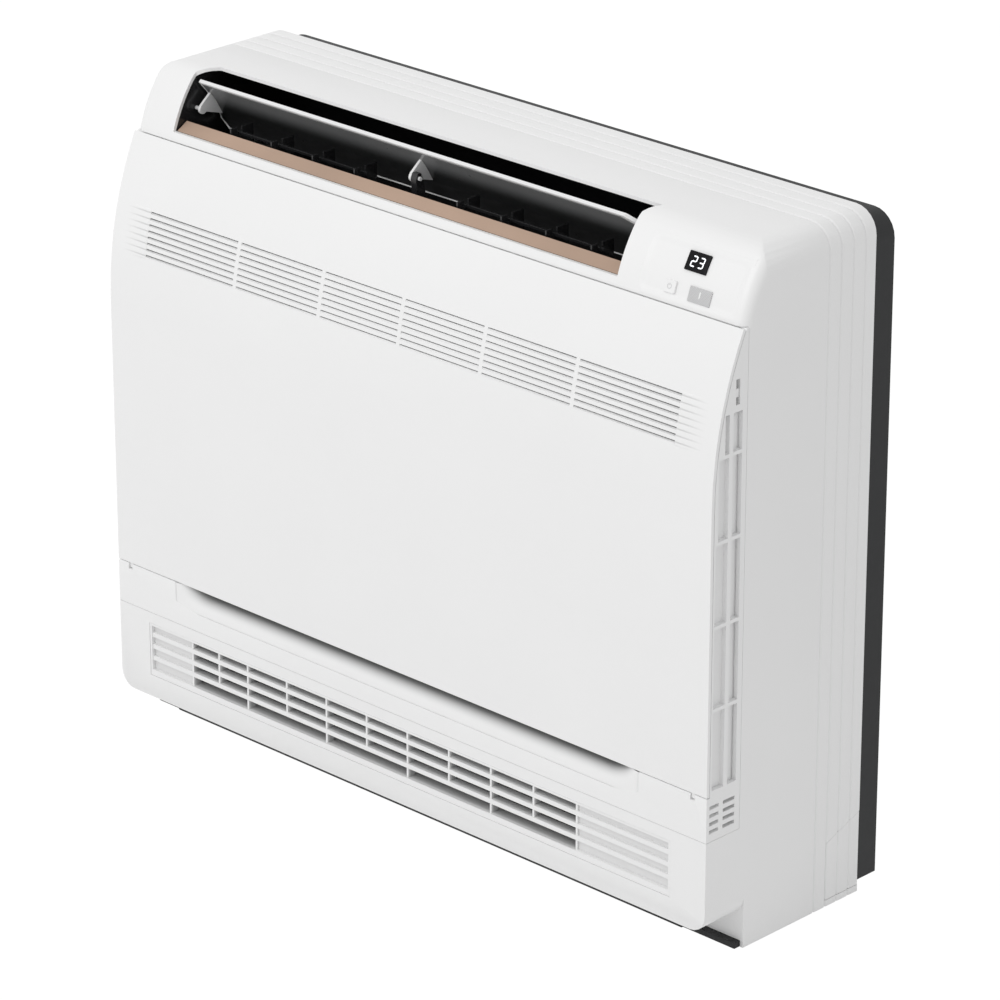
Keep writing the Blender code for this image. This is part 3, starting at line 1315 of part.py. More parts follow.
def make_fan():
    """Turbo wheel: dished back plate with hub, front ring and backward-curved blades."""
    plate = FAN_PLATE
    profile = [(FAN_RADIUS, FAN_REAR - plate), (FAN_RADIUS, FAN_REAR), (0.060, FAN_REAR),
               (0.052, FAN_REAR - 0.010), (FAN_HUB, FAN_REAR - 0.012),
               (FAN_HUB, FAN_REAR - 0.004), (SHAFT + GAP, FAN_REAR - 0.004),
               (SHAFT + GAP, SHAFT_FRONT - 0.004), (FAN_HUB - 0.006, SHAFT_FRONT - 0.004),
               (0.054, FAN_REAR - 0.012 - plate), (0.064, FAN_REAR - plate)]
    wheel = turned("fan_wheel", profile, (FAN_X, FAN_Z), 36, look(GREY, 0.5))
    ring = turned("fan_ring", [(FAN_INTAKE, FAN_FRONT), (FAN_INTAKE, FAN_FRONT + 0.004),
                               (FAN_INTAKE + 0.004, FAN_FRONT + 0.006),
                               (FAN_RADIUS, FAN_FRONT + 0.009),
                               (FAN_RADIUS, FAN_FRONT + 0.009 - plate),
                               (FAN_INTAKE + 0.006, FAN_FRONT + 0.003),
                               (FAN_INTAKE + 0.002, FAN_FRONT)], (FAN_X, FAN_Z), 36)
    join(wheel, ring)
    for i in range(FAN_BLADES):
        blade = extruded("blade_%d" % i, blade_outline(2 * math.pi * i / FAN_BLADES), "Y",
                         back(FAN_FRONT + 0.0045), back(FAN_REAR - plate / 2))
        trim = turned("blade_trim_%d" % i,
                      [(FAN_INTAKE + 0.003, FAN_FRONT - 0.010), (FAN_INTAKE + 0.003, FAN_FRONT + 0.0045),
                       (FAN_RADIUS + 0.005, FAN_FRONT + 0.0080), (FAN_RADIUS + 0.005, FAN_FRONT - 0.010)],
                      (FAN_X, FAN_Z), 36)
        cut(blade, trim)
        join(wheel, blade)
    pivoted(wheel, (FAN_X, back(FAN_FRONT), FAN_Z))
    return wheel


def make_motor():
    rear = DUCT_REAR - GAP
    profile = [(0.0, SHAFT_FRONT), (SHAFT, SHAFT_FRONT), (SHAFT, MOTOR_FRONT - 0.003),
               (0.014, MOTOR_FRONT - 0.003), (0.016, MOTOR_FRONT), (MOTOR_RADIUS - 0.003, MOTOR_FRONT),
               (MOTOR_RADIUS, MOTOR_FRONT + 0.003), (MOTOR_RADIUS, rear - 0.003),
               (MOTOR_RADIUS + 0.008, rear - 0.003), (MOTOR_RADIUS + 0.008, rear), (0.0, rear)]
    turned("fan_motor", profile, (FAN_X, FAN_Z), 32, look(STEEL, 0.4, 0.8))


# Evaporator, tray and pipes


def make_coil():
    fins = box("evaporator_fins", (COIL_LEFT, COIL_RIGHT),
               (back(COIL_FRONT), back(COIL_FRONT + COIL_THICK)), (COIL_LOW, COIL_HIGH),
               look(ALUMINIUM, 0.5, 0.7))
    plate_rear = BELL_FRONT - GAP
    middle = COIL_FRONT + COIL_THICK / 2
    for tag, side, face in (("left", -1, COIL_LEFT - GAP), ("right", 1, COIL_RIGHT + GAP)):
        outer = face + side * COIL_PLATE
        ends = sorted((face, outer))
        name = "coil_end_plate_" + tag
        plate = box(name, ends, (back(COIL_PLATE_FRONT), back(plate_rear)),
                    (COIL_LOW - 0.002, COIL_HIGH + 0.002), look(COPPER, 0.4, 0.9))
        for i in range(BEND_COUNT):
            low = COIL_LOW + BEND_ENDS[0] + i * BEND_PITCH
            points = [(outer - side * COIL_PLATE / 2, back(middle), low)]
            for k in range(7):
                turn = math.pi * k / 6
                points.append((outer + side * (BEND_STAND_OFF + BEND_RADIUS * math.sin(turn)),
                               back(middle), low + BEND_RADIUS - BEND_RADIUS * math.cos(turn)))
            points.append((outer - side * COIL_PLATE / 2, back(middle), low + 2 * BEND_RADIUS))
            join(plate, pipe("%s_bend_%d" % (name, i), points, TUBE, sides=1))
    return fins


def make_pipes():
    """Gas and liquid pipes from the coil's right end down to their flare nuts."""
    start = COIL_RIGHT + 2 * GAP + COIL_PLATE
    copper = look(COPPER, 0.35, 0.9)
    brass = look(BRASS, 0.3, 0.9)
    for tag, radius, depth, height, x, rear, low in PIPE_PLANS:
        run = x - start
        points = [(start, back(depth), height), (start + run * 0.5, back(depth), height),
                  (start + run * 0.85, back(depth + 0.004), height),
                  (x, back(depth + 0.014), height - 0.002),
                  (x + 0.004, back(rear - 0.014), height - 0.004),
                  (x + 0.006, back(rear - 0.004), height - 0.010),
                  (x + 0.006, back(rear), height - 0.022),
                  (x + 0.006, back(rear), low)]
        pipe(tag + "_pipe", points, radius, copper)
        nut = cylinder(tag + "_flare_nut", (x + 0.006, back(rear)), FLARE_NUT,
                       low - NUT_LENGTH, low - GAP, "Z", brass, sides=6)
        cut(nut, cylinder(tag + "_nut_bore", (x + 0.006, back(rear)), radius + 0.001,
                          low - NUT_LENGTH - 0.001, low - NUT_LENGTH + NUT_BORE_DEEP, "Z",
                          sides=12))


def make_tray():
    tray = box("drip_tray", (TRAY_LEFT, TRAY_RIGHT), (back(TRAY_FRONT), back(TRAY_REAR)),
               (TRAY_LOW, TRAY_HIGH), look(GREY_WHITE, 0.5))
    wall = TRAY_WALL
    cut(tray, box("tray_hollow", (TRAY_LEFT + wall, TRAY_RIGHT - wall),
                  (back(TRAY_FRONT + wall), back(TRAY_REAR - wall)),
                  (TRAY_LOW + wall, TRAY_HIGH + 0.01)))
    spot = (TRAY_RIGHT - 0.008, back((TRAY_FRONT + TRAY_REAR) / 2))
    spout = cylinder("drain_spout", spot, SPOUT_RADIUS, TRAY_LOW - SPOUT_DROP, TRAY_LOW + 0.001,
                     "Z", sides=16)
    join(tray, spout)
    cut(tray, cylinder("drain_bore", spot, SPOUT_RADIUS - 0.002, TRAY_LOW - SPOUT_DROP - 0.001,
                       TRAY_LOW + 0.02, "Z", sides=16))


# Electrical box


def make_electrics():
    wall = BOX_WALL
    rear = DEPTH - PLATE_WALL - GAP
    steel = look(STEEL, 0.45, 0.7)
    body = box("electrical_box", (BOX_LEFT, BOX_RIGHT), (back(BOX_FRONT), back(rear)),
               (BOX_LOW, BOX_HIGH), steel)
    cut(body, box("box_hollow", (BOX_LEFT + wall, BOX_RIGHT - wall),
                  (back(BOX_FRONT - 0.01), back(rear - wall)),
                  (BOX_LOW + wall, BOX_HIGH - wall)))
    box("electrical_box_cover", (BOX_LEFT, BOX_RIGHT),
        (back(BOX_FRONT - GAP - wall), back(BOX_FRONT - GAP)), (BOX_LOW, BOX_HIGH), steel)
    floor = rear - wall - GAP
    box("circuit_board", (BOX_LEFT + CIRCUIT_EDGE, BOX_RIGHT - CIRCUIT_EDGE),
        (back(floor - CIRCUIT_THICK), back(floor)),
        (BOX_LOW + CIRCUIT_LOW, BOX_HIGH - CIRCUIT_EDGE), look(GREEN, 0.5))
    ends = (BOX_LEFT + TERMINAL_EDGE, BOX_RIGHT - TERMINAL_EDGE)
    low, high = (BOX_LOW + offset for offset in TERMINAL_SPAN)
    block = box("terminal_block", ends, (back(floor - TERMINAL_DEEP), back(floor)), (low, high),
                PLASTIC)
    pitch = (ends[1] - ends[0] - TERMINAL_WALL) / TERMINAL_COUNT
    for i in range(TERMINAL_COUNT):
        left = ends[0] + TERMINAL_WALL + i * pitch
        cut(block, box("terminal_pocket_%d" % i, (left, left + pitch - TERMINAL_WALL),
                       (back(floor - 2 * TERMINAL_DEEP), back(floor - TERMINAL_DEEP / 2)),
                       (low + TERMINAL_WALL, high - TERMINAL_WALL)))


# Back plate


def make_back_plate():
    """A shallow pan that closes the rear, open to the front."""
    half = WIDTH / 2 - PLATE_MARGIN
    wall = PLATE_WALL
    start = SHELL_DEPTH + GAP
    outline = arch(half, PLATE_LOW, PLATE_HIGH, CORNER_RADIUS)
    plate = extruded("back_plate", outline, "Y", back(start), back(DEPTH), look(CHARCOAL, 0.5))
    inside = arch(half - wall, PLATE_LOW + wall, PLATE_HIGH - wall, CORNER_RADIUS - wall)
    cut(plate, extruded("plate_hollow", inside, "Y", back(start - 0.01), back(DEPTH - wall)))
    for side in (-1, 1):
        tag = "left" if side < 0 else "right"
        wide, tall = HANG_SLOT
        x = side * HANG_X
        slot = box("hang_slot_" + tag, (x - wide / 2, x + wide / 2),
                   (back(DEPTH - 0.005), back(DEPTH + 0.01)), (HANG_Z - tall / 2, HANG_Z + tall / 2))
        cut(plate, slot)
    hole = cylinder("pipe_hole", (PIPE_HOLE_X, PIPE_HOLE_Z), PIPE_HOLE, back(DEPTH - 0.005),
                    back(DEPTH + 0.01), "Y", sides=32)
    cut(plate, hole)
    return plate


make_housing()
make_knock_covers()
make_base_plate()
make_front_panel()
make_front_frame()
make_stoppers()
make_filters()
make_duct()
make_seal_strip()
make_flap()
make_hanger()
make_vanes()
make_outlet_motors()
make_controls()
make_lower_grille()
make_lower_duct()
make_damper()
make_scroll()
make_bell_mouth()
make_fan()
make_motor()
make_coil()
make_pipes()
make_tray()
make_electrics()
make_back_plate()
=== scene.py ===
# %% [markdown]
# This lesson dresses a floor console air conditioner: a slim white cabinet with a curved front
# panel, an open flap over a black air duct, and a slatted grille near the floor. Its solids
# could be drawn again here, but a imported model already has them, with their joints. So that
# model is loaded first, and everything below is fitted to it. All lengths are in metres. X runs
# along the width, Y from the front to the wall, and Z upwards.

# %% Load the solids
import json
import math

import bmesh
import bpy
import numpy as np
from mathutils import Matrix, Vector


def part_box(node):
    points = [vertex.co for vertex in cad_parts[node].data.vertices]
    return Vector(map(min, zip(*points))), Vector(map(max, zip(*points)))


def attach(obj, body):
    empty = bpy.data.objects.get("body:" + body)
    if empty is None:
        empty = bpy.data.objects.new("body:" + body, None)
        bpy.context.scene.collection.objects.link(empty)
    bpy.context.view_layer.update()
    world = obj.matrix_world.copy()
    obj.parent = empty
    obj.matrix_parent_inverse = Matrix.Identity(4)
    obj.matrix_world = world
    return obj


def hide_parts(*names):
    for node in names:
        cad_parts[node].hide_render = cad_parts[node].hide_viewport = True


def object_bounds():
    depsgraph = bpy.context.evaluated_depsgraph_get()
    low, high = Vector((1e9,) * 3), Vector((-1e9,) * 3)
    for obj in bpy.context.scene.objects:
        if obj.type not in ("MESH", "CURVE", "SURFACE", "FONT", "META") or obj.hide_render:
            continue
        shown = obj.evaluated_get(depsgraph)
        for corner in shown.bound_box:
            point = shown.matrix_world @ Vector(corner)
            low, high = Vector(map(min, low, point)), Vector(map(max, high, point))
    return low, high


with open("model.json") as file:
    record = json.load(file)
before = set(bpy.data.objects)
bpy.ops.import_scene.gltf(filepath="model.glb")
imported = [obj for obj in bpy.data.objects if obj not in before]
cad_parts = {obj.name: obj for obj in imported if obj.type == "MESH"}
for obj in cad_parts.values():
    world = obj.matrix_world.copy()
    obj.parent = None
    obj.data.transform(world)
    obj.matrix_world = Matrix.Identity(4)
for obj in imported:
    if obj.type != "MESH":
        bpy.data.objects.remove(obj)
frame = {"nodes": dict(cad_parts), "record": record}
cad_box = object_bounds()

FRONT_Y = cad_box[0][1]
scene = bpy.context.scene

# %% [markdown]
# The camera stands to the right of the front and looks down on the cabinet, far away and with
# a long lens, as product photographs are taken. It could be pushed about by hand until the
# picture fits. Here two angles give its direction, so that its place follows from one point
# that it looks at. The lens and the sensor are in millimetres.

# %% Camera
AZIMUTH = math.radians(44.19)
ELEVATION = math.radians(22.53)
DISTANCE = 4.280
LENS = 182.8
SENSOR_WIDTH = 36.0
LOOK_AT = Vector((0.0159, 0.0, 0.2801))

toward_camera = Vector((math.sin(AZIMUTH) * math.cos(ELEVATION),
                        -math.cos(AZIMUTH) * math.cos(ELEVATION), math.sin(ELEVATION)))
camera_data = bpy.data.cameras.new("camera")
camera_data.lens = LENS
camera_data.sensor_width = SENSOR_WIDTH
camera = bpy.data.objects.new("camera", camera_data)
camera.location = LOOK_AT + toward_camera * DISTANCE
camera.rotation_euler = (-toward_camera).to_track_quat("-Z", "Y").to_euler()
scene.collection.objects.link(camera)
scene.camera = camera
scene.view_settings.view_transform = "Standard"  # colours come out as they are written
print("camera at", [round(value, 3) for value in camera.location])

# %% [markdown]
# A white product on a white ground needs soft, even light. Many lamps could give it, but a
# bright sky all round does the same with one number. Where the camera, a reflection or clear
# glass sees that sky, it is plain white, whatever the level of the light.

# %% Sky
SKY_LEVEL = 0.72
WHITE_LEVEL = 1.0
WHITE = (1.0, 1.0, 1.0, 1.0)


def links_of(tree):
    """A short name for making a link in a node tree."""
    return tree.links.new


def seen_directly(tree):
    """A factor that is 1 where the camera, a reflection or a clear surface sees the thing."""
    path = tree.nodes.new("ShaderNodeLightPath")
    camera_or_glossy = tree.nodes.new("ShaderNodeMath")
    any_of_three = tree.nodes.new("ShaderNodeMath")
    for node in (camera_or_glossy, any_of_three):
        node.operation = "MAXIMUM"
    links_of(tree)(path.outputs["Is Camera Ray"], camera_or_glossy.inputs[0])
    links_of(tree)(path.outputs["Is Glossy Ray"], camera_or_glossy.inputs[1])
    links_of(tree)(camera_or_glossy.outputs[0], any_of_three.inputs[0])
    links_of(tree)(path.outputs["Is Transmission Ray"], any_of_three.inputs[1])
    return any_of_three.outputs[0]


world = bpy.data.worlds.new("studio")
world.use_nodes = True
scene.world = world
sky = world.node_tree
sky.nodes.clear()
soft = sky.nodes.new("ShaderNodeBackground")
white = sky.nodes.new("ShaderNodeBackground")
for background, level in ((soft, SKY_LEVEL), (white, WHITE_LEVEL)):
    background.inputs["Color"].default_value = WHITE
    background.inputs["Strength"].default_value = level
mix = sky.nodes.new("ShaderNodeMixShader")
out = sky.nodes.new("ShaderNodeOutputWorld")
links_of(sky)(seen_directly(sky), mix.inputs[0])
links_of(sky)(soft.outputs[0], mix.inputs[1])
links_of(sky)(white.outputs[0], mix.inputs[2])
links_of(sky)(mix.outputs[0], out.inputs["Surface"])
print("sky level", SKY_LEVEL)

# %% [markdown]
# One lamp in front of the cabinet lifts the front above the side, which gives the form its
# shading. A small lamp would draw hard shadows, so this one is wider than the cabinet.

# %% Key light
KEY_POWER = 44.0
KEY_SIZE = 2.4
KEY_PLACE = Vector((-0.5, -2.75, 2.85))
CABINET_MIDDLE = Vector((0.0, 0.0, 0.3))

key_data = bpy.data.lights.new("key", "AREA")
key_data.energy = KEY_POWER
key_data.size = KEY_SIZE
key = bpy.data.objects.new("key", key_data)
key.location = KEY_PLACE
key.rotation_euler = (CABINET_MIDDLE - KEY_PLACE).to_track_quat("-Z", "Y").to_euler()
scene.collection.objects.link(key)
print("key power", KEY_POWER)

# %% [markdown]
# The ground is a plain pale floor. A matt floor alone would come out grey, and a glowing one
# would lose the cabinet's shadow. So what the camera sees is mostly glow, and the rest is matt.

# %% Ground
GROUND_SIZE = 30.0
GROUND_DROP = 0.0006
GROUND_WHITE = 0.86
GLOW_SHARE = 0.95
GLOW_LEVEL = 1.05

ground_material = bpy.data.materials.new("ground")
ground_material.use_nodes = True
tree = ground_material.node_tree
tree.nodes.clear()
matt = tree.nodes.new("ShaderNodeBsdfDiffuse")
matt.inputs["Color"].default_value = (GROUND_WHITE, GROUND_WHITE, GROUND_WHITE, 1.0)
glow = tree.nodes.new("ShaderNodeEmission")
glow.inputs["Strength"].default_value = GLOW_LEVEL
share = tree.nodes.new("ShaderNodeMath")
share.operation = "MULTIPLY"
share.inputs[1].default_value = GLOW_SHARE
mix = tree.nodes.new("ShaderNodeMixShader")
out = tree.nodes.new("ShaderNodeOutputMaterial")
links_of(tree)(seen_directly(tree), share.inputs[0])
links_of(tree)(share.outputs[0], mix.inputs[0])
links_of(tree)(matt.outputs[0], mix.inputs[1])
links_of(tree)(glow.outputs[0], mix.inputs[2])
links_of(tree)(mix.outputs[0], out.inputs["Surface"])

half = GROUND_SIZE / 2
ground_mesh = bpy.data.meshes.new("ground")
ground_mesh.from_pydata([(-half, -half, -GROUND_DROP), (half, -half, -GROUND_DROP),
                         (half, half, -GROUND_DROP), (-half, half, -GROUND_DROP)],
                        [], [(0, 1, 2, 3)])
ground_mesh.materials.append(ground_material)
ground = bpy.data.objects.new("ground", ground_mesh)
scene.collection.objects.link(ground)
print("ground", GROUND_SIZE, "m wide")

# %% [markdown]
# Every finish on a moulded product has the same few parts: a colour that drifts a little over
# the surface, a gloss that is never quite even, and a very fine grain from the mould. A
# photographed texture could show them, but noise on object coordinates has no seams and stays
# real size on any piece. One helper makes it, and each finish only says how strong each part is.

# %% Helper for moulded finishes
DRIFT_SCALE, DRIFT_DETAIL = 9.0, 3.0
DRIFT_ENDS = (0.3, 0.7)
GLOSS_SCALE, GLOSS_DETAIL = 160.0, 2.0
GLOSS_DRIFT = 0.05
GRAIN_SCALE, GRAIN_DETAIL = 2600.0, 2.0
GRAIN_STRENGTH = 0.6
finishes = {}


def shader_of(material):
    """The Principled shader of a finish."""
    return material.node_tree.nodes["Principled BSDF"]


def noise(tree, place, scale, detail):
    """A noise read at this place: the larger its scale, the smaller its patches."""
    node = tree.nodes.new("ShaderNodeTexNoise")
    node.inputs["Scale"].default_value = scale
    node.inputs["Detail"].default_value = detail
    links_of(tree)(place, node.inputs["Vector"])
    return node.outputs["Fac"]


def finish(name, colour, roughness, metallic=0.0, drift=0.02, grain=0.00001,
           grain_scale=GRAIN_SCALE, coat=0.0, stretch=(1.0, 1.0, 1.0)):
    """A Principled surface whose colour, gloss and height are each a noise times a strength."""
    material = bpy.data.materials.new(name)
    material.use_nodes = True
    tree = material.node_tree
    link = links_of(tree)
    shader = shader_of(material)
    shader.inputs["Metallic"].default_value = metallic
    shader.inputs["Coat Weight"].default_value = coat
    coordinates = tree.nodes.new("ShaderNodeTexCoord")
    mapping = tree.nodes.new("ShaderNodeMapping")
    mapping.inputs["Scale"].default_value = stretch
    link(coordinates.outputs["Object"], mapping.inputs["Vector"])
    place = mapping.outputs[0]

    tones = tree.nodes.new("ShaderNodeValToRGB")
    for element, end, share in zip(tones.color_ramp.elements, DRIFT_ENDS,
                                   (1.0 - drift, 1.0 + drift)):
        element.position = end
        element.color = (*[min(channel * share, 1.0) for channel in colour], 1.0)
    link(noise(tree, place, DRIFT_SCALE, DRIFT_DETAIL), tones.inputs["Fac"])
    link(tones.outputs["Color"], shader.inputs["Base Color"])

    gloss = tree.nodes.new("ShaderNodeMapRange")
    gloss.inputs["To Min"].default_value = roughness - GLOSS_DRIFT
    gloss.inputs["To Max"].default_value = roughness + GLOSS_DRIFT
    link(noise(tree, place, GLOSS_SCALE, GLOSS_DETAIL), gloss.inputs["Value"])
    link(gloss.outputs["Result"], shader.inputs["Roughness"])

    bump = tree.nodes.new("ShaderNodeBump")
    bump.inputs["Strength"].default_value = GRAIN_STRENGTH
    bump.inputs["Distance"].default_value = grain
    link(noise(tree, place, grain_scale, GRAIN_DETAIL), bump.inputs["Height"])
    link(bump.outputs["Normal"], shader.inputs["Normal"])
    finishes[name] = material
    return material


print("finish helper ready")

# %% [markdown]
# The cabinet is moulded in white ABS with a fine spark-eroded texture, which hides finger
# marks and softens reflections. The duct is black, the rear plate is dark powder-coated steel,
# and the strip under the flap is a tan flocked seal. Each finish has its colour and roughness
# first. The rear plate and the display reflect less than bare plastic does.

# %% Finishes
SHELL_WHITE = (0.85, 0.85, 0.85)
DULL = {"display_black": 0.12, "plate_dark": 0.2}


def white_plastic(name):
    """The white of the shell under this name, so that painted shade can be laid over one piece's
    copy.
    """
    return finish(name, SHELL_WHITE, 0.40, drift=0.006, grain=0.000012)


white_plastic("white_shell")
finish("flap_grey", (0.80, 0.80, 0.80), 0.38, drift=0.01, grain=0.000008)
finish("duct_black", (0.016, 0.016, 0.017), 0.24, drift=0.25)
finish("filter_grey", (0.40, 0.405, 0.41), 0.6, drift=0.06, grain=0.00003)
finish("scroll_black", (0.02, 0.02, 0.021), 0.8, drift=0.2, grain=0.00008, grain_scale=500.0)
finish("inner_grey", (0.50, 0.50, 0.50), 0.5, drift=0.05)
finish("seal_tan", (0.46, 0.325, 0.245), 0.85, drift=0.08, grain=0.00006, grain_scale=1800.0)
finish("display_black", (0.004, 0.004, 0.005), 0.3, drift=0.1, grain=0.0)
finish("receiver_grey", (0.45, 0.45, 0.45), 0.35, drift=0.03, grain=0.000005)
finish("plate_dark", (0.026, 0.0265, 0.0275), 0.5, drift=0.06, grain=0.00002, grain_scale=1500.0)
finish("motor_steel", (0.5, 0.5, 0.51), 0.35, metallic=1.0, drift=0.05)
finish("box_steel", (0.55, 0.56, 0.57), 0.38, metallic=1.0, drift=0.12)
finish("fin_aluminium", (0.75, 0.76, 0.78), 0.4, metallic=1.0, drift=0.08, grain=0.00002,
       stretch=(40.0, 1.0, 0.2))
finish("copper", (0.75, 0.36, 0.22), 0.3, metallic=1.0, drift=0.12)
finish("nut_brass", (0.75, 0.58, 0.28), 0.28, metallic=1.0, drift=0.06)
finish("board_green", (0.03, 0.16, 0.07), 0.35, drift=0.1)
for name, level in DULL.items():
    shader_of(finishes[name]).inputs["Specular IOR Level"].default_value = level
print("finishes:", len(finishes))

# %% [markdown]
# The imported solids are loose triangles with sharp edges. A real moulding never has a sharp
# edge: each corner has a small radius that catches the light. The radii could be modelled one
# by one, but a bevel on a merged copy of the solid makes them all, and the copy then stands for
# the solid.

# %% Helpers for dressing a solid
EDGE = 0.0005
BEVEL_STEPS = 2
CREASE_ANGLE = math.radians(38)
FLAT_ANGLE = math.radians(0.4)
MERGE_DISTANCE = 0.00001

node_slot = {part["node"]: part["material_slot"] for part in frame["record"]["subparts"]}
node_body = {node: body for body, nodes in frame["record"]["behaviour"]["bodies"].items()
             for node in nodes}


def give(piece, body, slot_name, *nodes):
    """Puts a piece in the scene: its finish, the body that it moves with, what it stands for."""
    scene.collection.objects.link(piece)
    if not piece.data.materials:
        piece.data.materials.append(finishes[slot_name])
    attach(piece, body)
    if nodes:
        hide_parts(*nodes)


def dressed(node, edge=EDGE):
    """A merged copy of a node's solid with bevelled edges and smooth curved faces."""
    shape = bmesh.new()
    shape.from_mesh(frame["nodes"][node].data)
    bmesh.ops.remove_doubles(shape, verts=shape.verts[:], dist=MERGE_DISTANCE)
    bmesh.ops.dissolve_limit(shape, angle_limit=FLAT_ANGLE, verts=shape.verts[:],
                             edges=shape.edges[:])
    mesh = bpy.data.meshes.new(node + "_skin")
    shape.to_mesh(mesh)
    shape.free()
    mesh.shade_smooth()
    mesh.set_sharp_from_angle(angle=CREASE_ANGLE)
    piece = bpy.data.objects.new(node + "_skin", mesh)
    if edge > 0.0:
        bevel = piece.modifiers.new("edges", "BEVEL")
        bevel.width = edge
        bevel.segments = BEVEL_STEPS
        bevel.limit_method = "ANGLE"
        bevel.angle_limit = CREASE_ANGLE
        bevel.harden_normals = True
    give(piece, node_body[node], node_slot[node], node)
    return piece


print("slots in use:", len(set(node_slot.values())))

# %% [markdown]
# Most solids keep their shape and only need this dress. The thin ones get a finer bevel, so that
# it doesn't eat their walls. The filter frames have many openings in one flat face, where a
# bevel leaves stray faces, so they keep their edges. The link rods and the flap's hanger are
# black like the duct. Five solids wait for a cell of their own.

# %% Dress the solids that keep their shape
FINE_EDGE = 0.0002
FINE = ("vane", "rod", "stopper", "hanger", "nut", "seal", "damper")
LATER = ("control_cover", "display_window", "receiver_window", "power_button", "front_panel")

for node in frame["nodes"]:
    frame["nodes"][node].data.materials.clear()
    frame["nodes"][node].data.materials.append(finishes[node_slot[node]])
for node in frame["nodes"]:
    if node in LATER:
        continue
    edge = FINE_EDGE if any(word in node for word in FINE) else EDGE
    piece = dressed(node, 0.0 if "filter" in node else edge)
    if "rod" in node or "hanger" in node:
        piece.data.materials[0] = finishes["duct_black"]
print("dressed:", len(frame["nodes"]) - len(LATER))

# %% [markdown]
# Most new pieces are surfaces on a grid. They could be pushed into shape point by point, but
# numpy works out all the points at once from a formula, and the mesh takes them with
# foreach_set. A moulded part always has a thickness that shows at its edges, so a second
# helper gives the surface a wall.

# %% Helpers for grid surfaces


def points_of(x, y, z):
    """One array of points from three coordinates, each stretched to their common shape."""
    return np.stack(np.broadcast_arrays(x, y, z), axis=-1)


def grid_mesh(name, points, closed_across=False):
    """A mesh from points (rows, columns, 3), or from several such grids: four points a face.

    Rows that go along X and columns that climb give a face that looks to the front.
    """
    points = points[None] if points.ndim == 3 else points
    index = np.arange(points[..., 0].size).reshape(points.shape[:3])
    if closed_across:
        index = np.concatenate([index, index[:, :, :1]], axis=2)
    faces = np.stack([index[:, :-1, :-1], index[:, 1:, :-1], index[:, 1:, 1:],
                      index[:, :-1, 1:]], axis=-1).reshape(-1, 4)
    mesh = bpy.data.meshes.new(name)
    mesh.vertices.add(points[..., 0].size)
    mesh.vertices.foreach_set("co", points.astype(np.float32).ravel())
    mesh.loops.add(faces.size)
    mesh.loops.foreach_set("vertex_index", faces.astype(np.int32).ravel())
    mesh.polygons.add(len(faces))
    mesh.polygons.foreach_set("loop_start", np.arange(0, faces.size, 4, dtype=np.int32))
    mesh.update(calc_edges=True)
    mesh.validate()
    mesh.shade_smooth()
    return mesh


def walled(piece, wall):
    """Gives a surface a wall of this thickness behind its face."""
    thick = piece.modifiers.new("wall", "SOLIDIFY")
    thick.thickness = wall
    thick.offset = -1.0
    return piece


def surface(name, points, wall):
    """An object from grid points, with a wall behind it."""
    return walled(bpy.data.objects.new(name, grid_mesh(name, points)), wall)


def blended(value, start, end):
    """A share that goes smoothly from 0 at start to 1 at end: 3 t squared less 2 t cubed."""
    share = np.clip((value - start) / (end - start), 0.0, 1.0)
    return share * share * (3.0 - 2.0 * share)


print("grid helpers ready")

# %% [markdown]
# The control area lies on the curved fascia. Its pieces could be placed by eye, but the fascia
# is an arc seen from the side, so one function gives a point from a distance along X, a height
# and how far it stands proud. A second lays a small flat drawing on the arc at one height.

# %% The fascia arc
FACE_RADIUS = 0.138
FACE_MIDDLE_Y = FRONT_Y + 0.167833
FACE_MIDDLE_Z = 0.505815
CONTROL_HEIGHT = 0.566


def on_fascia(x, height, proud=0.0):
    """Points on the arc: the radius grown by proud, turned to the angle of this height."""
    angle = np.pi - np.arcsin((height - FACE_MIDDLE_Z) / FACE_RADIUS)
    reach = FACE_RADIUS + proud
    return points_of(x, FACE_MIDDLE_Y + reach * np.cos(angle),
                     FACE_MIDDLE_Z + reach * np.sin(angle))


def laid_on_face(x, height, along, up, out):
    """Flat drawings laid on the face: along goes to X, up climbs the face, out leaves it."""
    angle = math.pi - math.asin((height - FACE_MIDDLE_Z) / FACE_RADIUS)
    normal = np.array([0.0, math.cos(angle), math.sin(angle)])
    climb = np.array([0.0, math.sin(angle), -math.cos(angle)])
    origin = np.array([x, FACE_MIDDLE_Y + FACE_RADIUS * normal[1],
                       FACE_MIDDLE_Z + FACE_RADIUS * normal[2]])
    along, up, out = np.broadcast_arrays(along, up, out)
    side = np.array([1.0, 0.0, 0.0])
    return origin + along[..., None] * side + up[..., None] * climb + out[..., None] * normal


lean = math.asin((CONTROL_HEIGHT - FACE_MIDDLE_Z) / FACE_RADIUS)
print("fascia leans", round(math.degrees(lean), 1), "degrees at the control area")

# %% [markdown]
# On the real product the control area has no hard outline. Its cover is set in flush, and a
# shallow dip with soft borders tells the finger where it is. A bump in the finish wouldn't
# show from the side, so the dip is the fascia arc with a small negative height. How far a
# point lies inside a rectangle with round corners sets it.

# %% Control face
COVER_LOW_CORNER, COVER_HIGH_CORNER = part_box("control_cover")
FACE_LAP = 0.0016
FACE_SINK = 0.00025
FACE_PROUD = 0.0001
FACE_SKIN = 0.0008
FACE_POINTS = (141, 91)
DIP = 0.0010
DIP_CORNER = 0.010
DIP_BORDER = (0.0022, 0.0080)


def inside_rounded(along, up, half_along, half_up, corner):
    """How far a point lies inside a rectangle with round corners; negative outside it."""
    over_along = np.abs(along) - (half_along - corner)
    over_up = np.abs(up) - (half_up - corner)
    outside = np.hypot(np.maximum(over_along, 0.0), np.maximum(over_up, 0.0))
    return corner - outside - np.minimum(np.maximum(over_along, over_up), 0.0)


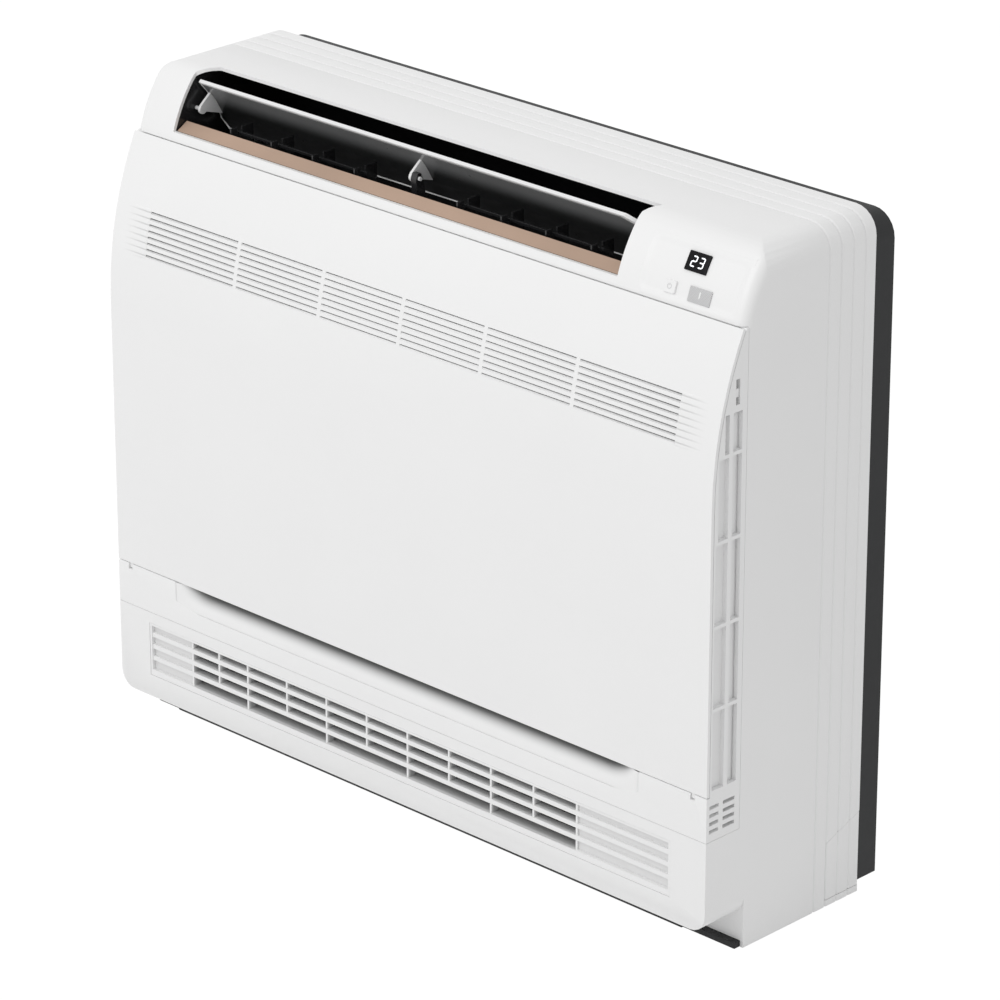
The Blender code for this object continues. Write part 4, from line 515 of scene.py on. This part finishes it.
across = np.linspace(COVER_LOW_CORNER[0] - FACE_LAP, COVER_HIGH_CORNER[0] + FACE_LAP,
                     FACE_POINTS[0])
heights = np.linspace(COVER_LOW_CORNER[2] - FACE_LAP, COVER_HIGH_CORNER[2] + FACE_LAP,
                      FACE_POINTS[1])
span, rise = np.meshgrid(across, heights, indexing="ij")
from_edge = np.minimum(np.minimum(span - across[0], across[-1] - span),
                       np.minimum(rise - heights[0], heights[-1] - rise))
middle_x, middle_height = (across[0] + across[-1]) / 2.0, (heights[0] + heights[-1]) / 2.0
inward = inside_rounded(span - middle_x, rise - middle_height, (across[-1] - across[0]) / 2.0,
                        (heights[-1] - heights[0]) / 2.0, DIP_CORNER)
lap = -FACE_SINK + (FACE_SINK + FACE_PROUD) * blended(from_edge, 0.0, FACE_LAP)
dip = DIP * blended(inward, *DIP_BORDER)
control_face = surface("control_face", on_fascia(span, rise, lap - dip), FACE_SKIN)
give(control_face, node_body["control_cover"], "white_shell", "control_cover")
print("control face points:", span.size)

# %% [markdown]
# The windows and the button are small plates with round corners. A bevelled box could stand
# for each, but rings of one outline, from the middle of the underside over the rim to the
# middle of the top, leave the form of the edge and of the top free. A ring is the outline
# times a reach, and lies a drop below the top.

# %% Helper for small plates
PLATE_TOP_RINGS = ((1.0, 0.00018), (0.985, 0.00005), (0.96, 0.0), (0.5, 0.0), (0.0, 0.0))
PLATE_DEPTH = 0.0020
PLATE_POINTS = 48
POLE_MERGE = 0.000001


def closed_poles(mesh):
    """Points in the same place become one, which closes the first and last ring of a plate."""
    shape = bmesh.new()
    shape.from_mesh(mesh)
    bmesh.ops.remove_doubles(shape, verts=shape.verts[:], dist=POLE_MERGE)
    shape.to_mesh(mesh)
    shape.free()
    return mesh


def rounded_plate(name, place, size, corner, top, depth=PLATE_DEPTH, top_rings=PLATE_TOP_RINGS,
                  count=PLATE_POINTS):
    """A plate on the face, made of rings (reach, drop) of one outline.

    The outline is the middle of a corner plus the corner radius times the cosine and the sine
    of a full turn. A ring is this outline times its reach.
    """
    reach, drop = np.array(((0.0, depth), (1.0, depth)) + top_rings).T[:, :, None]
    turn = np.linspace(2.0 * np.pi, 0.0, count + 1)[:-1]
    half = np.array(size) / 2.0 - corner
    outline_x = np.where(np.cos(turn) >= 0.0, half[0], -half[0]) + corner * np.cos(turn)
    outline_up = np.where(np.sin(turn) >= 0.0, half[1], -half[1]) + corner * np.sin(turn)
    points = laid_on_face(*place, reach * outline_x, reach * outline_up, top - drop)
    mesh = grid_mesh(name, points, closed_across=True)
    return bpy.data.objects.new(name, closed_poles(mesh))


print("plate helper ready")

# %% [markdown]
# The display is a black glass, set almost flush in the control face. A flat box would do, but
# its sharp rim would draw a hard line of light, so it is one of these plates.

# %% Display glass
DISPLAY_PLACE = (0.2877, 0.5762)
DISPLAY_SIZE = (0.0225, 0.0160)
DISPLAY_CORNER = 0.0008
DISPLAY_TOP = 0.00025

glass = rounded_plate("display_glass", DISPLAY_PLACE, DISPLAY_SIZE, DISPLAY_CORNER, DISPLAY_TOP)
give(glass, node_body["display_window"], "display_black", "display_window")
print("display size", DISPLAY_SIZE)

# %% [markdown]
# Two white digits of seven bars lie on the glass and show a plain room temperature. A text
# object could write them, but real ones are bars: each is a flat hexagon, long in one
# direction with pointed ends, so that neighbours meet in a mitre. They glow a little.

# %% Display digits
DIGIT_WIDTH = 0.0044
DIGIT_HEIGHT = 0.0092
DIGIT_GAP = 0.0034
DIGIT_LEAN = 0.06
BAR = 0.0011
BAR_SPACE = 0.0003
BAR_PROUD = 0.00032
BAR_WALL = 0.0002
BAR_LIGHT = (0.9, 0.95, 1.0, 1.0)
BAR_GLOW = 0.55

# Each bar: its place in shares of the digit's half width and half height, and whether it lies
# lengthways.
BARS = {
    "top": (0.0, 1.0, True), "middle": (0.0, 0.0, True), "bottom": (0.0, -1.0, True),
    "upper_right": (1.0, 0.5, False), "upper_left": (-1.0, 0.5, False),
    "lower_right": (1.0, -0.5, False), "lower_left": (-1.0, -0.5, False),
}
SHOWN = {"2": ("top", "upper_right", "middle", "lower_left", "bottom"),
         "3": ("top", "upper_right", "middle", "lower_right", "bottom")}


def bar_outline(lengthways, length):
    """Six corners of a bar: two points on its axis and two on each long side."""
    end, side = length / 2.0, BAR / 2.0
    corners = np.array([(-end, 0.0), (-end + side, side), (end - side, side), (end, 0.0),
                        (end - side, -side), (-end + side, -side)])
    return corners if lengthways else corners[:, ::-1] * np.array([1.0, -1.0])


corners, faces = [], []
for digit, middle in (("2", -1.0), ("3", 1.0)):
    shift = middle * (DIGIT_WIDTH + DIGIT_GAP) / 2.0
    for bar in SHOWN[digit]:
        right, high, lengthways = BARS[bar]
        length = (DIGIT_WIDTH if lengthways else DIGIT_HEIGHT / 2.0) - BAR_SPACE
        outline = bar_outline(lengthways, length) + np.array(
            [right * DIGIT_WIDTH / 2.0, high * (DIGIT_HEIGHT - BAR) / 2.0])
        outline[:, 0] += shift + DIGIT_LEAN * outline[:, 1]
        faces.append(list(range(len(corners) + 5, len(corners) - 1, -1)))
        corners.extend(laid_on_face(*DISPLAY_PLACE, outline[:, 0], outline[:, 1], BAR_PROUD))
digits_mesh = bpy.data.meshes.new("display_digits")
digits_mesh.from_pydata([tuple(corner) for corner in corners], [], faces)
digit_white = finish("digit_white", (0.9, 0.92, 0.94), 0.3, drift=0.005, grain=0.0)
shader_of(digit_white).inputs["Emission Color"].default_value = BAR_LIGHT
shader_of(digit_white).inputs["Emission Strength"].default_value = BAR_GLOW
digits_mesh.materials.append(digit_white)
digits = walled(bpy.data.objects.new("display_digits", digits_mesh), BAR_WALL)
give(digits, "cabinet", "white_shell")
print("bars lit:", len(faces))

# %% [markdown]
# Some finishes change with the place: the receiver window has dots, the flap's lining gets
# darker downwards, and the grille gets darker with depth. These two darkenings are painted
# shade. A painted picture could hold this, but a formula on the coordinates stays exact at any
# size. These helpers chain the maths nodes for it, and lay a tone of painted shade over a
# finish's own colour by a factor.

# %% Helpers for finishes that change with the place


def step_nodes(tree):
    """A short way to write maths with nodes: each call adds one node and gives its output."""
    def step(operation, first, second=None):
        node = tree.nodes.new("ShaderNodeMath")
        node.operation = operation
        for socket, value in zip(node.inputs, (first, second)):
            if value is None:
                continue
            if isinstance(value, float):
                socket.default_value = value
            else:
                links_of(tree)(value, socket)
        return node.outputs[0]
    return step


def place_along(tree):
    """The three object coordinates as separate outputs X, Y and Z."""
    coordinates = tree.nodes.new("ShaderNodeTexCoord")
    split = tree.nodes.new("ShaderNodeSeparateXYZ")
    links_of(tree)(coordinates.outputs["Object"], split.inputs[0])
    return split.outputs


def smooth_range(tree, value, start, end, low, high):
    """A map range with a smooth step: low at start and high at end."""
    node = tree.nodes.new("ShaderNodeMapRange")
    node.interpolation_type = "SMOOTHSTEP"
    node.inputs["From Min"].default_value = start
    node.inputs["From Max"].default_value = end
    node.inputs["To Min"].default_value = low
    node.inputs["To Max"].default_value = high
    links_of(tree)(value, node.inputs["Value"])
    return node.outputs["Result"]


def toned(tree, factor, tone):
    """Multiplies the base colour by a tone where the factor is 1; the tone is painted shade."""
    shade = tree.nodes.new("ShaderNodeMix")
    shade.data_type = "RGBA"
    shade.blend_type = "MULTIPLY"
    colours = [socket for socket in shade.inputs if socket.type == "RGBA"]
    colours[1].default_value = (tone, tone, tone, 1.0)
    links_of(tree)(factor, shade.inputs[0])
    links_of(tree)(tree.nodes["Color Ramp"].outputs["Color"], colours[0])
    result = [socket for socket in shade.outputs if socket.type == "RGBA"][0]
    links_of(tree)(result, tree.nodes["Principled BSDF"].inputs["Base Color"])


def darker_inwards(material, start, end, tone):
    """Paints shade over a finish by its depth behind the cabinet's front, from one depth to
    another.
    """
    tree = material.node_tree
    depth_factor = smooth_range(tree, place_along(tree)["Y"], FRONT_Y + start, FRONT_Y + end,
                                0.0, 1.0)
    toned(tree, depth_factor, tone)


print("place helpers ready")

# %% [markdown]
# The receiver window is grey with a fine pattern of dots, which lets infrared light through
# and hides the sensor. Thousands of small discs could be modelled, but two crossed waves give
# the same dots for nothing, one along X and one along Z, at their real size. A small clear bar
# in the window is the signal lamp.

# %% Receiver window with its dots
RECEIVER_PLACE = (0.2994, 0.5538)
RECEIVER_SIZE = (0.0230, 0.0125)
RECEIVER_CORNER = 0.0007
RECEIVER_TOP = 0.00020
DOT_PITCH = 0.0016
DOT_ENDS = (0.02, 0.35)
RECEIVER_DOTS = ((0.36, 0.36, 0.365), (0.84, 0.84, 0.845))
LAMP_RAISED = 0.0006
LAMP_SIZE = (0.0013, 0.0055)
LAMP_CORNER = 0.0005
LAMP_TOP = 0.00034
LAMP_DEPTH = 0.0010


def crossed_dots(material, pitch, dark, light, axes=("X", "Z")):
    """Colour from the product of two sine waves along these axes, both of this pitch."""
    tree = material.node_tree
    step = step_nodes(tree)
    spot = place_along(tree)
    waves = [step("SINE", step("MULTIPLY", spot[axis], 2.0 * math.pi / pitch)) for axis in axes]
    tones = tree.nodes.new("ShaderNodeValToRGB")
    for element, end, colour in zip(tones.color_ramp.elements, DOT_ENDS, (dark, light)):
        element.position = end
        element.color = (*colour, 1.0)
    links_of(tree)(step("MULTIPLY", *waves), tones.inputs["Fac"])
    links_of(tree)(tones.outputs["Color"], shader_of(material).inputs["Base Color"])


crossed_dots(finishes["receiver_grey"], DOT_PITCH, *RECEIVER_DOTS)
receiver = rounded_plate("receiver_glass", RECEIVER_PLACE, RECEIVER_SIZE, RECEIVER_CORNER,
                         RECEIVER_TOP)
give(receiver, node_body["receiver_window"], "receiver_grey", "receiver_window")
lamp = rounded_plate("signal_lamp", (RECEIVER_PLACE[0], RECEIVER_PLACE[1] + LAMP_RAISED),
                     LAMP_SIZE, LAMP_CORNER, LAMP_TOP, LAMP_DEPTH)
lamp.data.materials.append(finish("lamp_clear", (0.88, 0.88, 0.88), 0.18, drift=0.01, grain=0.0))
give(lamp, "cabinet", "receiver_grey")
print("dots across the window:", int(RECEIVER_SIZE[0] / DOT_PITCH))

# %% [markdown]
# The push button is a low square cap in a thin groove. Its top is a little dished for the
# finger. A bowl could be cut into a box, but with the plate helper the rings only have to sink
# again towards the middle, by two tenths of a millimetre. The cap rides on its own body,
# because it moves when pressed.

# %% Push button
BUTTON_PLACE = (0.2681, 0.5545)
BUTTON_SIZE = (0.0125, 0.0105)
BUTTON_TOP = 0.0010
BUTTON_DEPTH = 0.0048
BUTTON_CORNER = 0.0016
BUTTON_TOP_RINGS = ((1.0, 0.00045), (0.97, 0.00012), (0.92, 0.0), (0.85, 0.00003),
                    (0.7, 0.00010), (0.5, 0.00016), (0.3, 0.00019), (0.1, 0.0002), (0.0, 0.0002))
BUTTON_POINTS = 64

cap = rounded_plate("button_cap", BUTTON_PLACE, BUTTON_SIZE, BUTTON_CORNER, BUTTON_TOP,
                    BUTTON_DEPTH, BUTTON_TOP_RINGS, BUTTON_POINTS)
give(cap, "power_button", "white_shell", "power_button")
print("button corner radius", BUTTON_CORNER)

# %% [markdown]
# The mark on the button is a ring with a short bar, printed in grey. Print could be a pattern
# in the cap's finish. Here it is two thin raised sheets, which keep sharp borders up close.

# %% Mark on the button
RING_TURN = (math.radians(-240), math.radians(60))
RING_REACH = np.array([0.00175, 0.00215])
RING_POINTS = 41
MARK_BAR_SIDES = np.array([[-0.0002], [0.0002]])
MARK_BAR_ENDS = np.array([[0.0008, 0.0025]])
MARK_LEVEL = BUTTON_TOP - 0.00010
MARK_WALL = 0.00006

ring_turn = np.linspace(*RING_TURN, RING_POINTS)
ring_points = laid_on_face(*BUTTON_PLACE, RING_REACH[:, None] * np.cos(ring_turn),
                           RING_REACH[:, None] * np.sin(ring_turn), MARK_LEVEL)
bar_points = laid_on_face(*BUTTON_PLACE, MARK_BAR_SIDES, MARK_BAR_ENDS, MARK_LEVEL)
mark_grey = finish("mark_grey", (0.55, 0.55, 0.56), 0.5, grain=0.0)
for name, points in (("button_mark_ring", ring_points), ("button_mark_bar", bar_points)):
    mark = surface(name, points, MARK_WALL)
    mark.data.materials.append(mark_grey)
    give(mark, "power_button", "receiver_grey")
print("ring width", round(float(RING_REACH[1] - RING_REACH[0]), 5))

# %% [markdown]
# The flap is white outside and dark grey inside. The dark side could be a second colour on the
# flap's own faces, but its border lies where the solid has no edge. So a thin lining is laid
# on. Closed, the flap follows the fascia and its fillet, and its inner side is the same curve
# made smaller. The lining stops short of the flap's edges, which leaves the white lip.

# %% Curve of the lining on the closed flap
FILLET_Y = FRONT_Y + 0.078
FILLET_Z = 0.576
FILLET_RADIUS = 0.024
FILLET_START = math.radians(142.0)
FLAP_FRONT = math.radians(158.8)
FLAP_REAR = math.radians(103.0)
FLAP_LIP = 0.0022
REAR_LIP_SHARE = 0.7
LINING_INSET = 0.00392
LINING_POINTS = (121, 61)

angle = np.linspace(FLAP_FRONT - FLAP_LIP / FACE_RADIUS,
                    FLAP_REAR + REAR_LIP_SHARE * FLAP_LIP / FILLET_RADIUS, LINING_POINTS[1])
on_arc = angle >= FILLET_START
middle_y = np.where(on_arc, FACE_MIDDLE_Y, FILLET_Y)
middle_z = np.where(on_arc, FACE_MIDDLE_Z, FILLET_Z)
radius = np.where(on_arc, FACE_RADIUS, FILLET_RADIUS) - LINING_INSET
closed = np.stack([middle_y + radius * np.cos(angle), middle_z + radius * np.sin(angle)], axis=-1)
print("lining curve from", closed[0].round(4), "to", closed[-1].round(4))

# %% [markdown]
# The flap's ends are cut back, the left one towards the rear edge and the right one towards
# the front edge, and the lining keeps to that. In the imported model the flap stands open, so
# the curve is turned about the flap's pivot to that place. It gets darker downwards, because
# the duct's shade lies on it.

# %% Dark lining of the flap
FLAP_ENDS = (-0.3005, 0.2095)
REAR_CUT = 0.022
REAR_CUT_START = 0.066
REAR_CUT_RUN = 0.014
FRONT_CUT = 0.018
FRONT_CUT_RUN = 0.010
PIVOT = np.array([FRONT_Y + 0.064, 0.5645])
FLAP_SWING = math.radians(-115.0)
LINING_WALL = 0.0002
LINING_SHADE = (0.562, 0.579)
LINING_TONE = 0.10


def turned_about(points, pivot, angle):
    """Points (Y, Z) turned about a pivot: sine and cosine of the angle mix the two offsets."""
    across, up = (points - pivot).T
    return np.stack([across * math.cos(angle) - up * math.sin(angle),
                     across * math.sin(angle) + up * math.cos(angle)], axis=-1) + pivot


past_cut = (closed[:, 0] - FRONT_Y - REAR_CUT_START) / REAR_CUT_RUN
above_front = (closed[:, 1] - FACE_MIDDLE_Z - FACE_RADIUS * math.sin(FLAP_FRONT)) / FRONT_CUT_RUN
low_x = FLAP_ENDS[0] + FLAP_LIP + REAR_CUT * np.clip(past_cut, 0.0, 1.0)
high_x = FLAP_ENDS[1] - FLAP_LIP - FRONT_CUT * np.clip(1.0 - above_front, 0.0, 1.0)
opened = turned_about(closed, PIVOT, FLAP_SWING)
share = np.linspace(0.0, 1.0, LINING_POINTS[0])[:, None]
lining = surface("flap_lining", points_of(low_x * (1.0 - share) + high_x * share,
                                          opened[None, :, 0], opened[None, :, 1]), LINING_WALL)
flap_dark = finish("flap_dark", (0.16, 0.162, 0.165), 0.3, drift=0.05, grain=0.000004, coat=0.3)
tree = flap_dark.node_tree
# The darkening downwards is painted shade from the duct.
toned(tree, smooth_range(tree, place_along(tree)["Z"], *LINING_SHADE, 1.0, 0.0), LINING_TONE)
lining.data.materials.append(flap_dark)
give(lining, "outlet_flap", "flap_grey")
print("lining from", round(float(low_x.min()), 4), "to", round(float(high_x.max()), 4))

# %% [markdown]
# Left and right of the real slots, the panel goes on with blind grooves that get shallower and
# fade out before the edge. Grooves so shallow hold little shade of their own. So where the
# distance to the nearest groove middle is small, painted shade darkens the panel's finish a
# little, and a later cell raises the ribs between the grooves.

# %% Finish of the panel
GROOVE_TOP = 0.4815
GROOVE_PITCH = 0.0053
GROOVE_COUNT = 8
HALF_ROW = 0.5
GROOVE_HALF = 0.00085
GROOVE_FLOOR = GROOVE_HALF * 0.35
GROOVE_START = 0.3068
GROOVE_FADE = GROOVE_START + 0.004
GROOVE_END = 0.3385
GROOVE_SHARE = 0.8
GROOVE_TONE = 0.7

panel_white = white_plastic("panel_white")
tree = panel_white.node_tree
step = step_nodes(tree)
spot = place_along(tree)
lines = step("DIVIDE", step("SUBTRACT", GROOVE_TOP, spot["Z"]), GROOVE_PITCH)
nearest = step("ROUND", lines)
apart = step("MULTIPLY", step("ABSOLUTE", step("SUBTRACT", lines, nearest)), GROOVE_PITCH)
groove_shade = smooth_range(tree, apart, GROOVE_FLOOR, GROOVE_HALF, 1.0, 0.0)
inside = step("MULTIPLY", step("GREATER_THAN", nearest, -HALF_ROW),
              step("LESS_THAN", nearest, GROOVE_COUNT - HALF_ROW))
side = step("ABSOLUTE", spot["X"])
fade = step("MULTIPLY", step("GREATER_THAN", side, GROOVE_START),
            smooth_range(tree, side, GROOVE_FADE, GROOVE_END, 1.0, 0.0))
groove_shade = step("MULTIPLY", step("MULTIPLY", groove_shade, inside), fade)
# The darkening in the blind grooves is painted shade.
toned(tree, step("MULTIPLY", groove_shade, GROOVE_SHARE), GROOVE_TONE)
panel = dressed("front_panel")
panel.data.materials[0] = panel_white
print("groove rows:", GROOVE_COUNT)

# %% [markdown]
# The slots end in a rounded lower lip, which catches the light and leaves only a thin dark
# line above it. A lip could be cut into the solid, at the price of many small faces. Here it
# is a short profile that climbs the panel's outer face and turns inwards. All eight lips are
# one mesh, and ride on the panel.

# %% Lips of the panel slots
CURVE_START = 0.396
CURVE_RADIUS = 0.33056
SLOT_HALF = 0.00105
LIP_WALL = 0.0005
# Each point of the profile: its depth behind the panel's face, and its height over the slot's
# lower edge.
LIP_PROFILE = np.array([(0.00025, -0.0002), (0.00025, 0.0005), (0.0005, 0.00075),
                        (0.0010, 0.00085), (0.0026, 0.00085)])


def panel_setback(height):
    """How far the panel's outer face lies behind its lower part: an arc of one radius."""
    rise = np.maximum(height - CURVE_START, 0.0)
    return CURVE_RADIUS - np.sqrt(CURVE_RADIUS ** 2 - rise ** 2)


low_edges = GROOVE_TOP - GROOVE_PITCH * np.arange(GROOVE_COUNT) - SLOT_HALF
lip_x = np.array([-GROOVE_START, GROOVE_START])[None, :, None]
lip_z = low_edges[:, None, None] + LIP_PROFILE[None, None, :, 1]
lip_y = FRONT_Y + panel_setback(lip_z) + LIP_PROFILE[None, None, :, 0]
slot_lips = surface("slot_lips", points_of(lip_x, lip_y, lip_z), LIP_WALL)
give(slot_lips, "front_panel", "white_shell")
print("slot lips:", GROOVE_COUNT)

# %% [markdown]
# A bump in the finish could draw the ribs between the blind grooves, but it would be flat seen
# from the side. So they are a wavy sheet on the panel: a rib height times a wave along the
# height, times a share that falls from the slots to the panel's side. All its borders dive
# under the panel's face, so that none shows.

# %% Ribs between the blind grooves
RIB_HIGH = 0.00035
RIB_SINK = 0.0001
RIB_WALL = 0.0004
RIB_POINTS = (41, 129)
RIB_OVERHANG = 0.6
RIB_END_FADE = 0.0012
RIB_RISE_END = GROOVE_START + 0.0015
RIB_FALL_START = GROOVE_START + 0.003
RIB_REACH = GROOVE_END + 0.001
SIDES = (("left", -1), ("right", 1))

upward = np.linspace(GROOVE_TOP - GROOVE_PITCH * (GROOVE_COUNT - 1.0 + RIB_OVERHANG),
                     GROOVE_TOP + GROOVE_PITCH * RIB_OVERHANG, RIB_POINTS[1])
groove_number = np.clip(np.round((GROOVE_TOP - upward) / GROOVE_PITCH), 0, GROOVE_COUNT - 1)
from_groove = np.abs(upward - (GROOVE_TOP - groove_number * GROOVE_PITCH))
from_end = np.minimum(upward - upward[0], upward[-1] - upward)
wave = blended(from_groove, GROOVE_FLOOR, GROOVE_HALF) * blended(from_end, 0.0, RIB_END_FADE)
outward = np.linspace(GROOVE_START, RIB_REACH, RIB_POINTS[0])
rib_share = blended(outward, GROOVE_START, RIB_RISE_END) * (
    1.0 - blended(outward, RIB_FALL_START, GROOVE_END))
rib_height = -RIB_SINK + (RIB_HIGH + RIB_SINK) * rib_share[:, None] * wave[None, :]
rib_y = FRONT_Y + panel_setback(upward)[None, :] - rib_height
for tag, way in SIDES:
    rib_points = points_of(way * outward[:, None], rib_y, upward[None, :])
    ribs = surface("panel_ribs_" + tag, rib_points[::way], RIB_WALL)
    ribs.data.materials.append(panel_white)
    give(ribs, "front_panel", "white_shell")
print("rib sheet points:", rib_height.size)

# %% [markdown]
# The two air filters are frames with a fine woven fabric in them. A weave thread by thread
# would need millions of faces. From here it is a thin sheet that bulges a little between its
# sides, by a sine, and crossed waves draw the threads.

# %% Filter fabric
FABRIC_INSET = 0.003
FABRIC_DEPTH = 0.004
FABRIC_BULGE = 0.0006
FABRIC_WALL = 0.0003
FABRIC_POINTS = (13, 25)
FABRIC_PITCH = 0.0016
FABRIC_THREADS = ((0.42, 0.42, 0.43), (0.60, 0.60, 0.60))

fabric_grey = finish("fabric_grey", (0.5, 0.5, 0.5), 0.7, drift=0.03)
crossed_dots(fabric_grey, FABRIC_PITCH, *FABRIC_THREADS)
for tag, _ in SIDES:
    low_corner, high_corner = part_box("air_filter_" + tag)
    across = np.linspace(low_corner[0] + FABRIC_INSET, high_corner[0] - FABRIC_INSET,
                         FABRIC_POINTS[0])
    upward = np.linspace(low_corner[2] + FABRIC_INSET, high_corner[2] - FABRIC_INSET,
                         FABRIC_POINTS[1])
    wide, tall = np.meshgrid(across, upward, indexing="ij")
    bulge = FABRIC_BULGE * np.sin(np.pi * (wide - across[0]) / (across[-1] - across[0]))
    fabric = surface("filter_fabric_" + tag,
                     points_of(wide, low_corner[1] + FABRIC_DEPTH + bulge, tall), FABRIC_WALL)
    fabric.data.materials.append(fabric_grey)
    give(fabric, "cabinet", "filter_grey")
print("filter fabrics:", len(SIDES))

# %% [markdown]
# Behind each side lattice lies a light screen, which keeps the inside from showing. It could
# be a plain rectangle, but that would stick out where the panel curves back. So its front edge
# follows the panel and its rear edge is straight: a share from 0 to 1 goes from one to the
# other.

# %% Side screens
SCREEN_X = 0.3458
SCREEN_HEIGHTS = (0.1535, 0.473)
SCREEN_FRONT = 0.0048
SCREEN_REAR = 0.0342
SCREEN_WALL = 0.0004
SCREEN_POINTS = (9, 65)
SCREEN_PITCH = 0.0015
SCREEN_THREADS = ((0.80, 0.80, 0.80), (0.85, 0.85, 0.85))

screen_white = finish("screen_white", (0.82, 0.82, 0.82), 0.6, drift=0.01)
crossed_dots(screen_white, SCREEN_PITCH, *SCREEN_THREADS, axes=("Y", "Z"))
upward = np.linspace(*SCREEN_HEIGHTS, SCREEN_POINTS[1])
front = panel_setback(upward)[None, :] + SCREEN_FRONT
for tag, way in SIDES:
    share = np.linspace(0.0, 1.0, SCREEN_POINTS[0])[::way, None]
    depth = front + (SCREEN_REAR - front) * share
    screen = surface("side_screen_" + tag,
                     points_of(way * SCREEN_X, FRONT_Y + depth, upward[None, :]), SCREEN_WALL)
    screen.data.materials.append(screen_white)
    give(screen, "cabinet", "white_shell")
print("side screens:", len(SIDES))

# %% [markdown]
# The finger recess under the panel is a soft cove: straight at its lower edge, and turning
# inwards faster and faster towards the panel. An arc could be its section, but an arc meets
# the front at an angle. A power of the share of the height starts flush, and runs out smoothly
# at both ends. Light that bounces inside such a cove is soon lost, which a tone by depth helps
# along.

# %% Cove of the finger recess
COVE_LOW = 0.1272
COVE_HIGH = 0.1496
COVE_LIP = 0.0002
COVE_DEPTH = 0.0170
COVE_POWER = 2.4
COVE_REACH = 0.2765
COVE_TAPER = 0.040
COVE_WALL = 0.0006
COVE_POINTS = (161, 25)
COVE_SHADE = (0.0009, 0.0090)
COVE_TONE = 0.22

wide, tall = np.meshgrid(np.linspace(-COVE_REACH, COVE_REACH, COVE_POINTS[0]),
                         np.linspace(COVE_LOW, COVE_HIGH, COVE_POINTS[1]), indexing="ij")
climbed = (tall - COVE_LOW) / (COVE_HIGH - COVE_LOW)
run_out = blended(COVE_REACH - np.abs(wide), 0.0, COVE_TAPER)
cove_y = FRONT_Y + COVE_LIP + COVE_DEPTH * run_out * climbed ** COVE_POWER
cove = surface("recess_cove", points_of(wide, cove_y, tall), COVE_WALL)
cove_white = white_plastic("cove_white")
# The tone by depth on the cove is painted shade.
darker_inwards(cove_white, *COVE_SHADE, COVE_TONE)
cove.data.materials.append(cove_white)
give(cove, "cabinet", "white_shell")
print("cove depth", COVE_DEPTH)

# %% [markdown]
# The lower grille blows out or draws in air near the floor, between slats that stand close.
# Light reaches the rear of the slats only faintly. Stronger lamps would make that contrast,
# and burn out the rest. A tone that grows with depth does it for the grille alone, and also
# brings out the blind slats at both ends.

# %% Depth tone of the grille
GRILLE_SHADE = (0.0023, 0.0060)
GRILLE_TONE = 0.66

grille_white = white_plastic("grille_white")
# The tone by depth on the grille is painted shade.
darker_inwards(grille_white, *GRILLE_SHADE, GRILLE_TONE)
bpy.data.objects["lower_grille_skin"].data.materials[0] = grille_white
print("grille tone ready")

# %% [markdown]
# Under the lower block, a dark flange of the base plate closes the gap to the floor. From the
# front only a thin black line of it shows, and that line is also painted shade: it stands in
# for the shade under the block's edge. It is bent sheet, so its profile is drawn once, with
# the two bends, and carried along X. The profile is the inner side of the bend.

# %% Front flange of the base plate, also a painted shade line
FLANGE_ENDS = (-0.318, 0.290)
FLANGE_WALL = 0.0008
FLANGE_POINTS = 9
# Each point of the profile: its depth behind the cabinet's front, and its height.
FLANGE_PROFILE = np.array([(0.0400, 0.0085), (0.0391, 0.0085), (0.0385, 0.0078),
                           (0.0385, 0.0016), (0.0393, 0.0008), (0.0430, 0.0008)])

flange_x = np.linspace(*FLANGE_ENDS, FLANGE_POINTS)[:, None]
flange = surface("base_flange_and_shade_line", points_of(flange_x, FRONT_Y + FLANGE_PROFILE[:, 0],
                                          FLANGE_PROFILE[:, 1]), FLANGE_WALL)
give(flange, "cabinet", "plate_dark")
print("flange length", round(FLANGE_ENDS[1] - FLANGE_ENDS[0], 3))
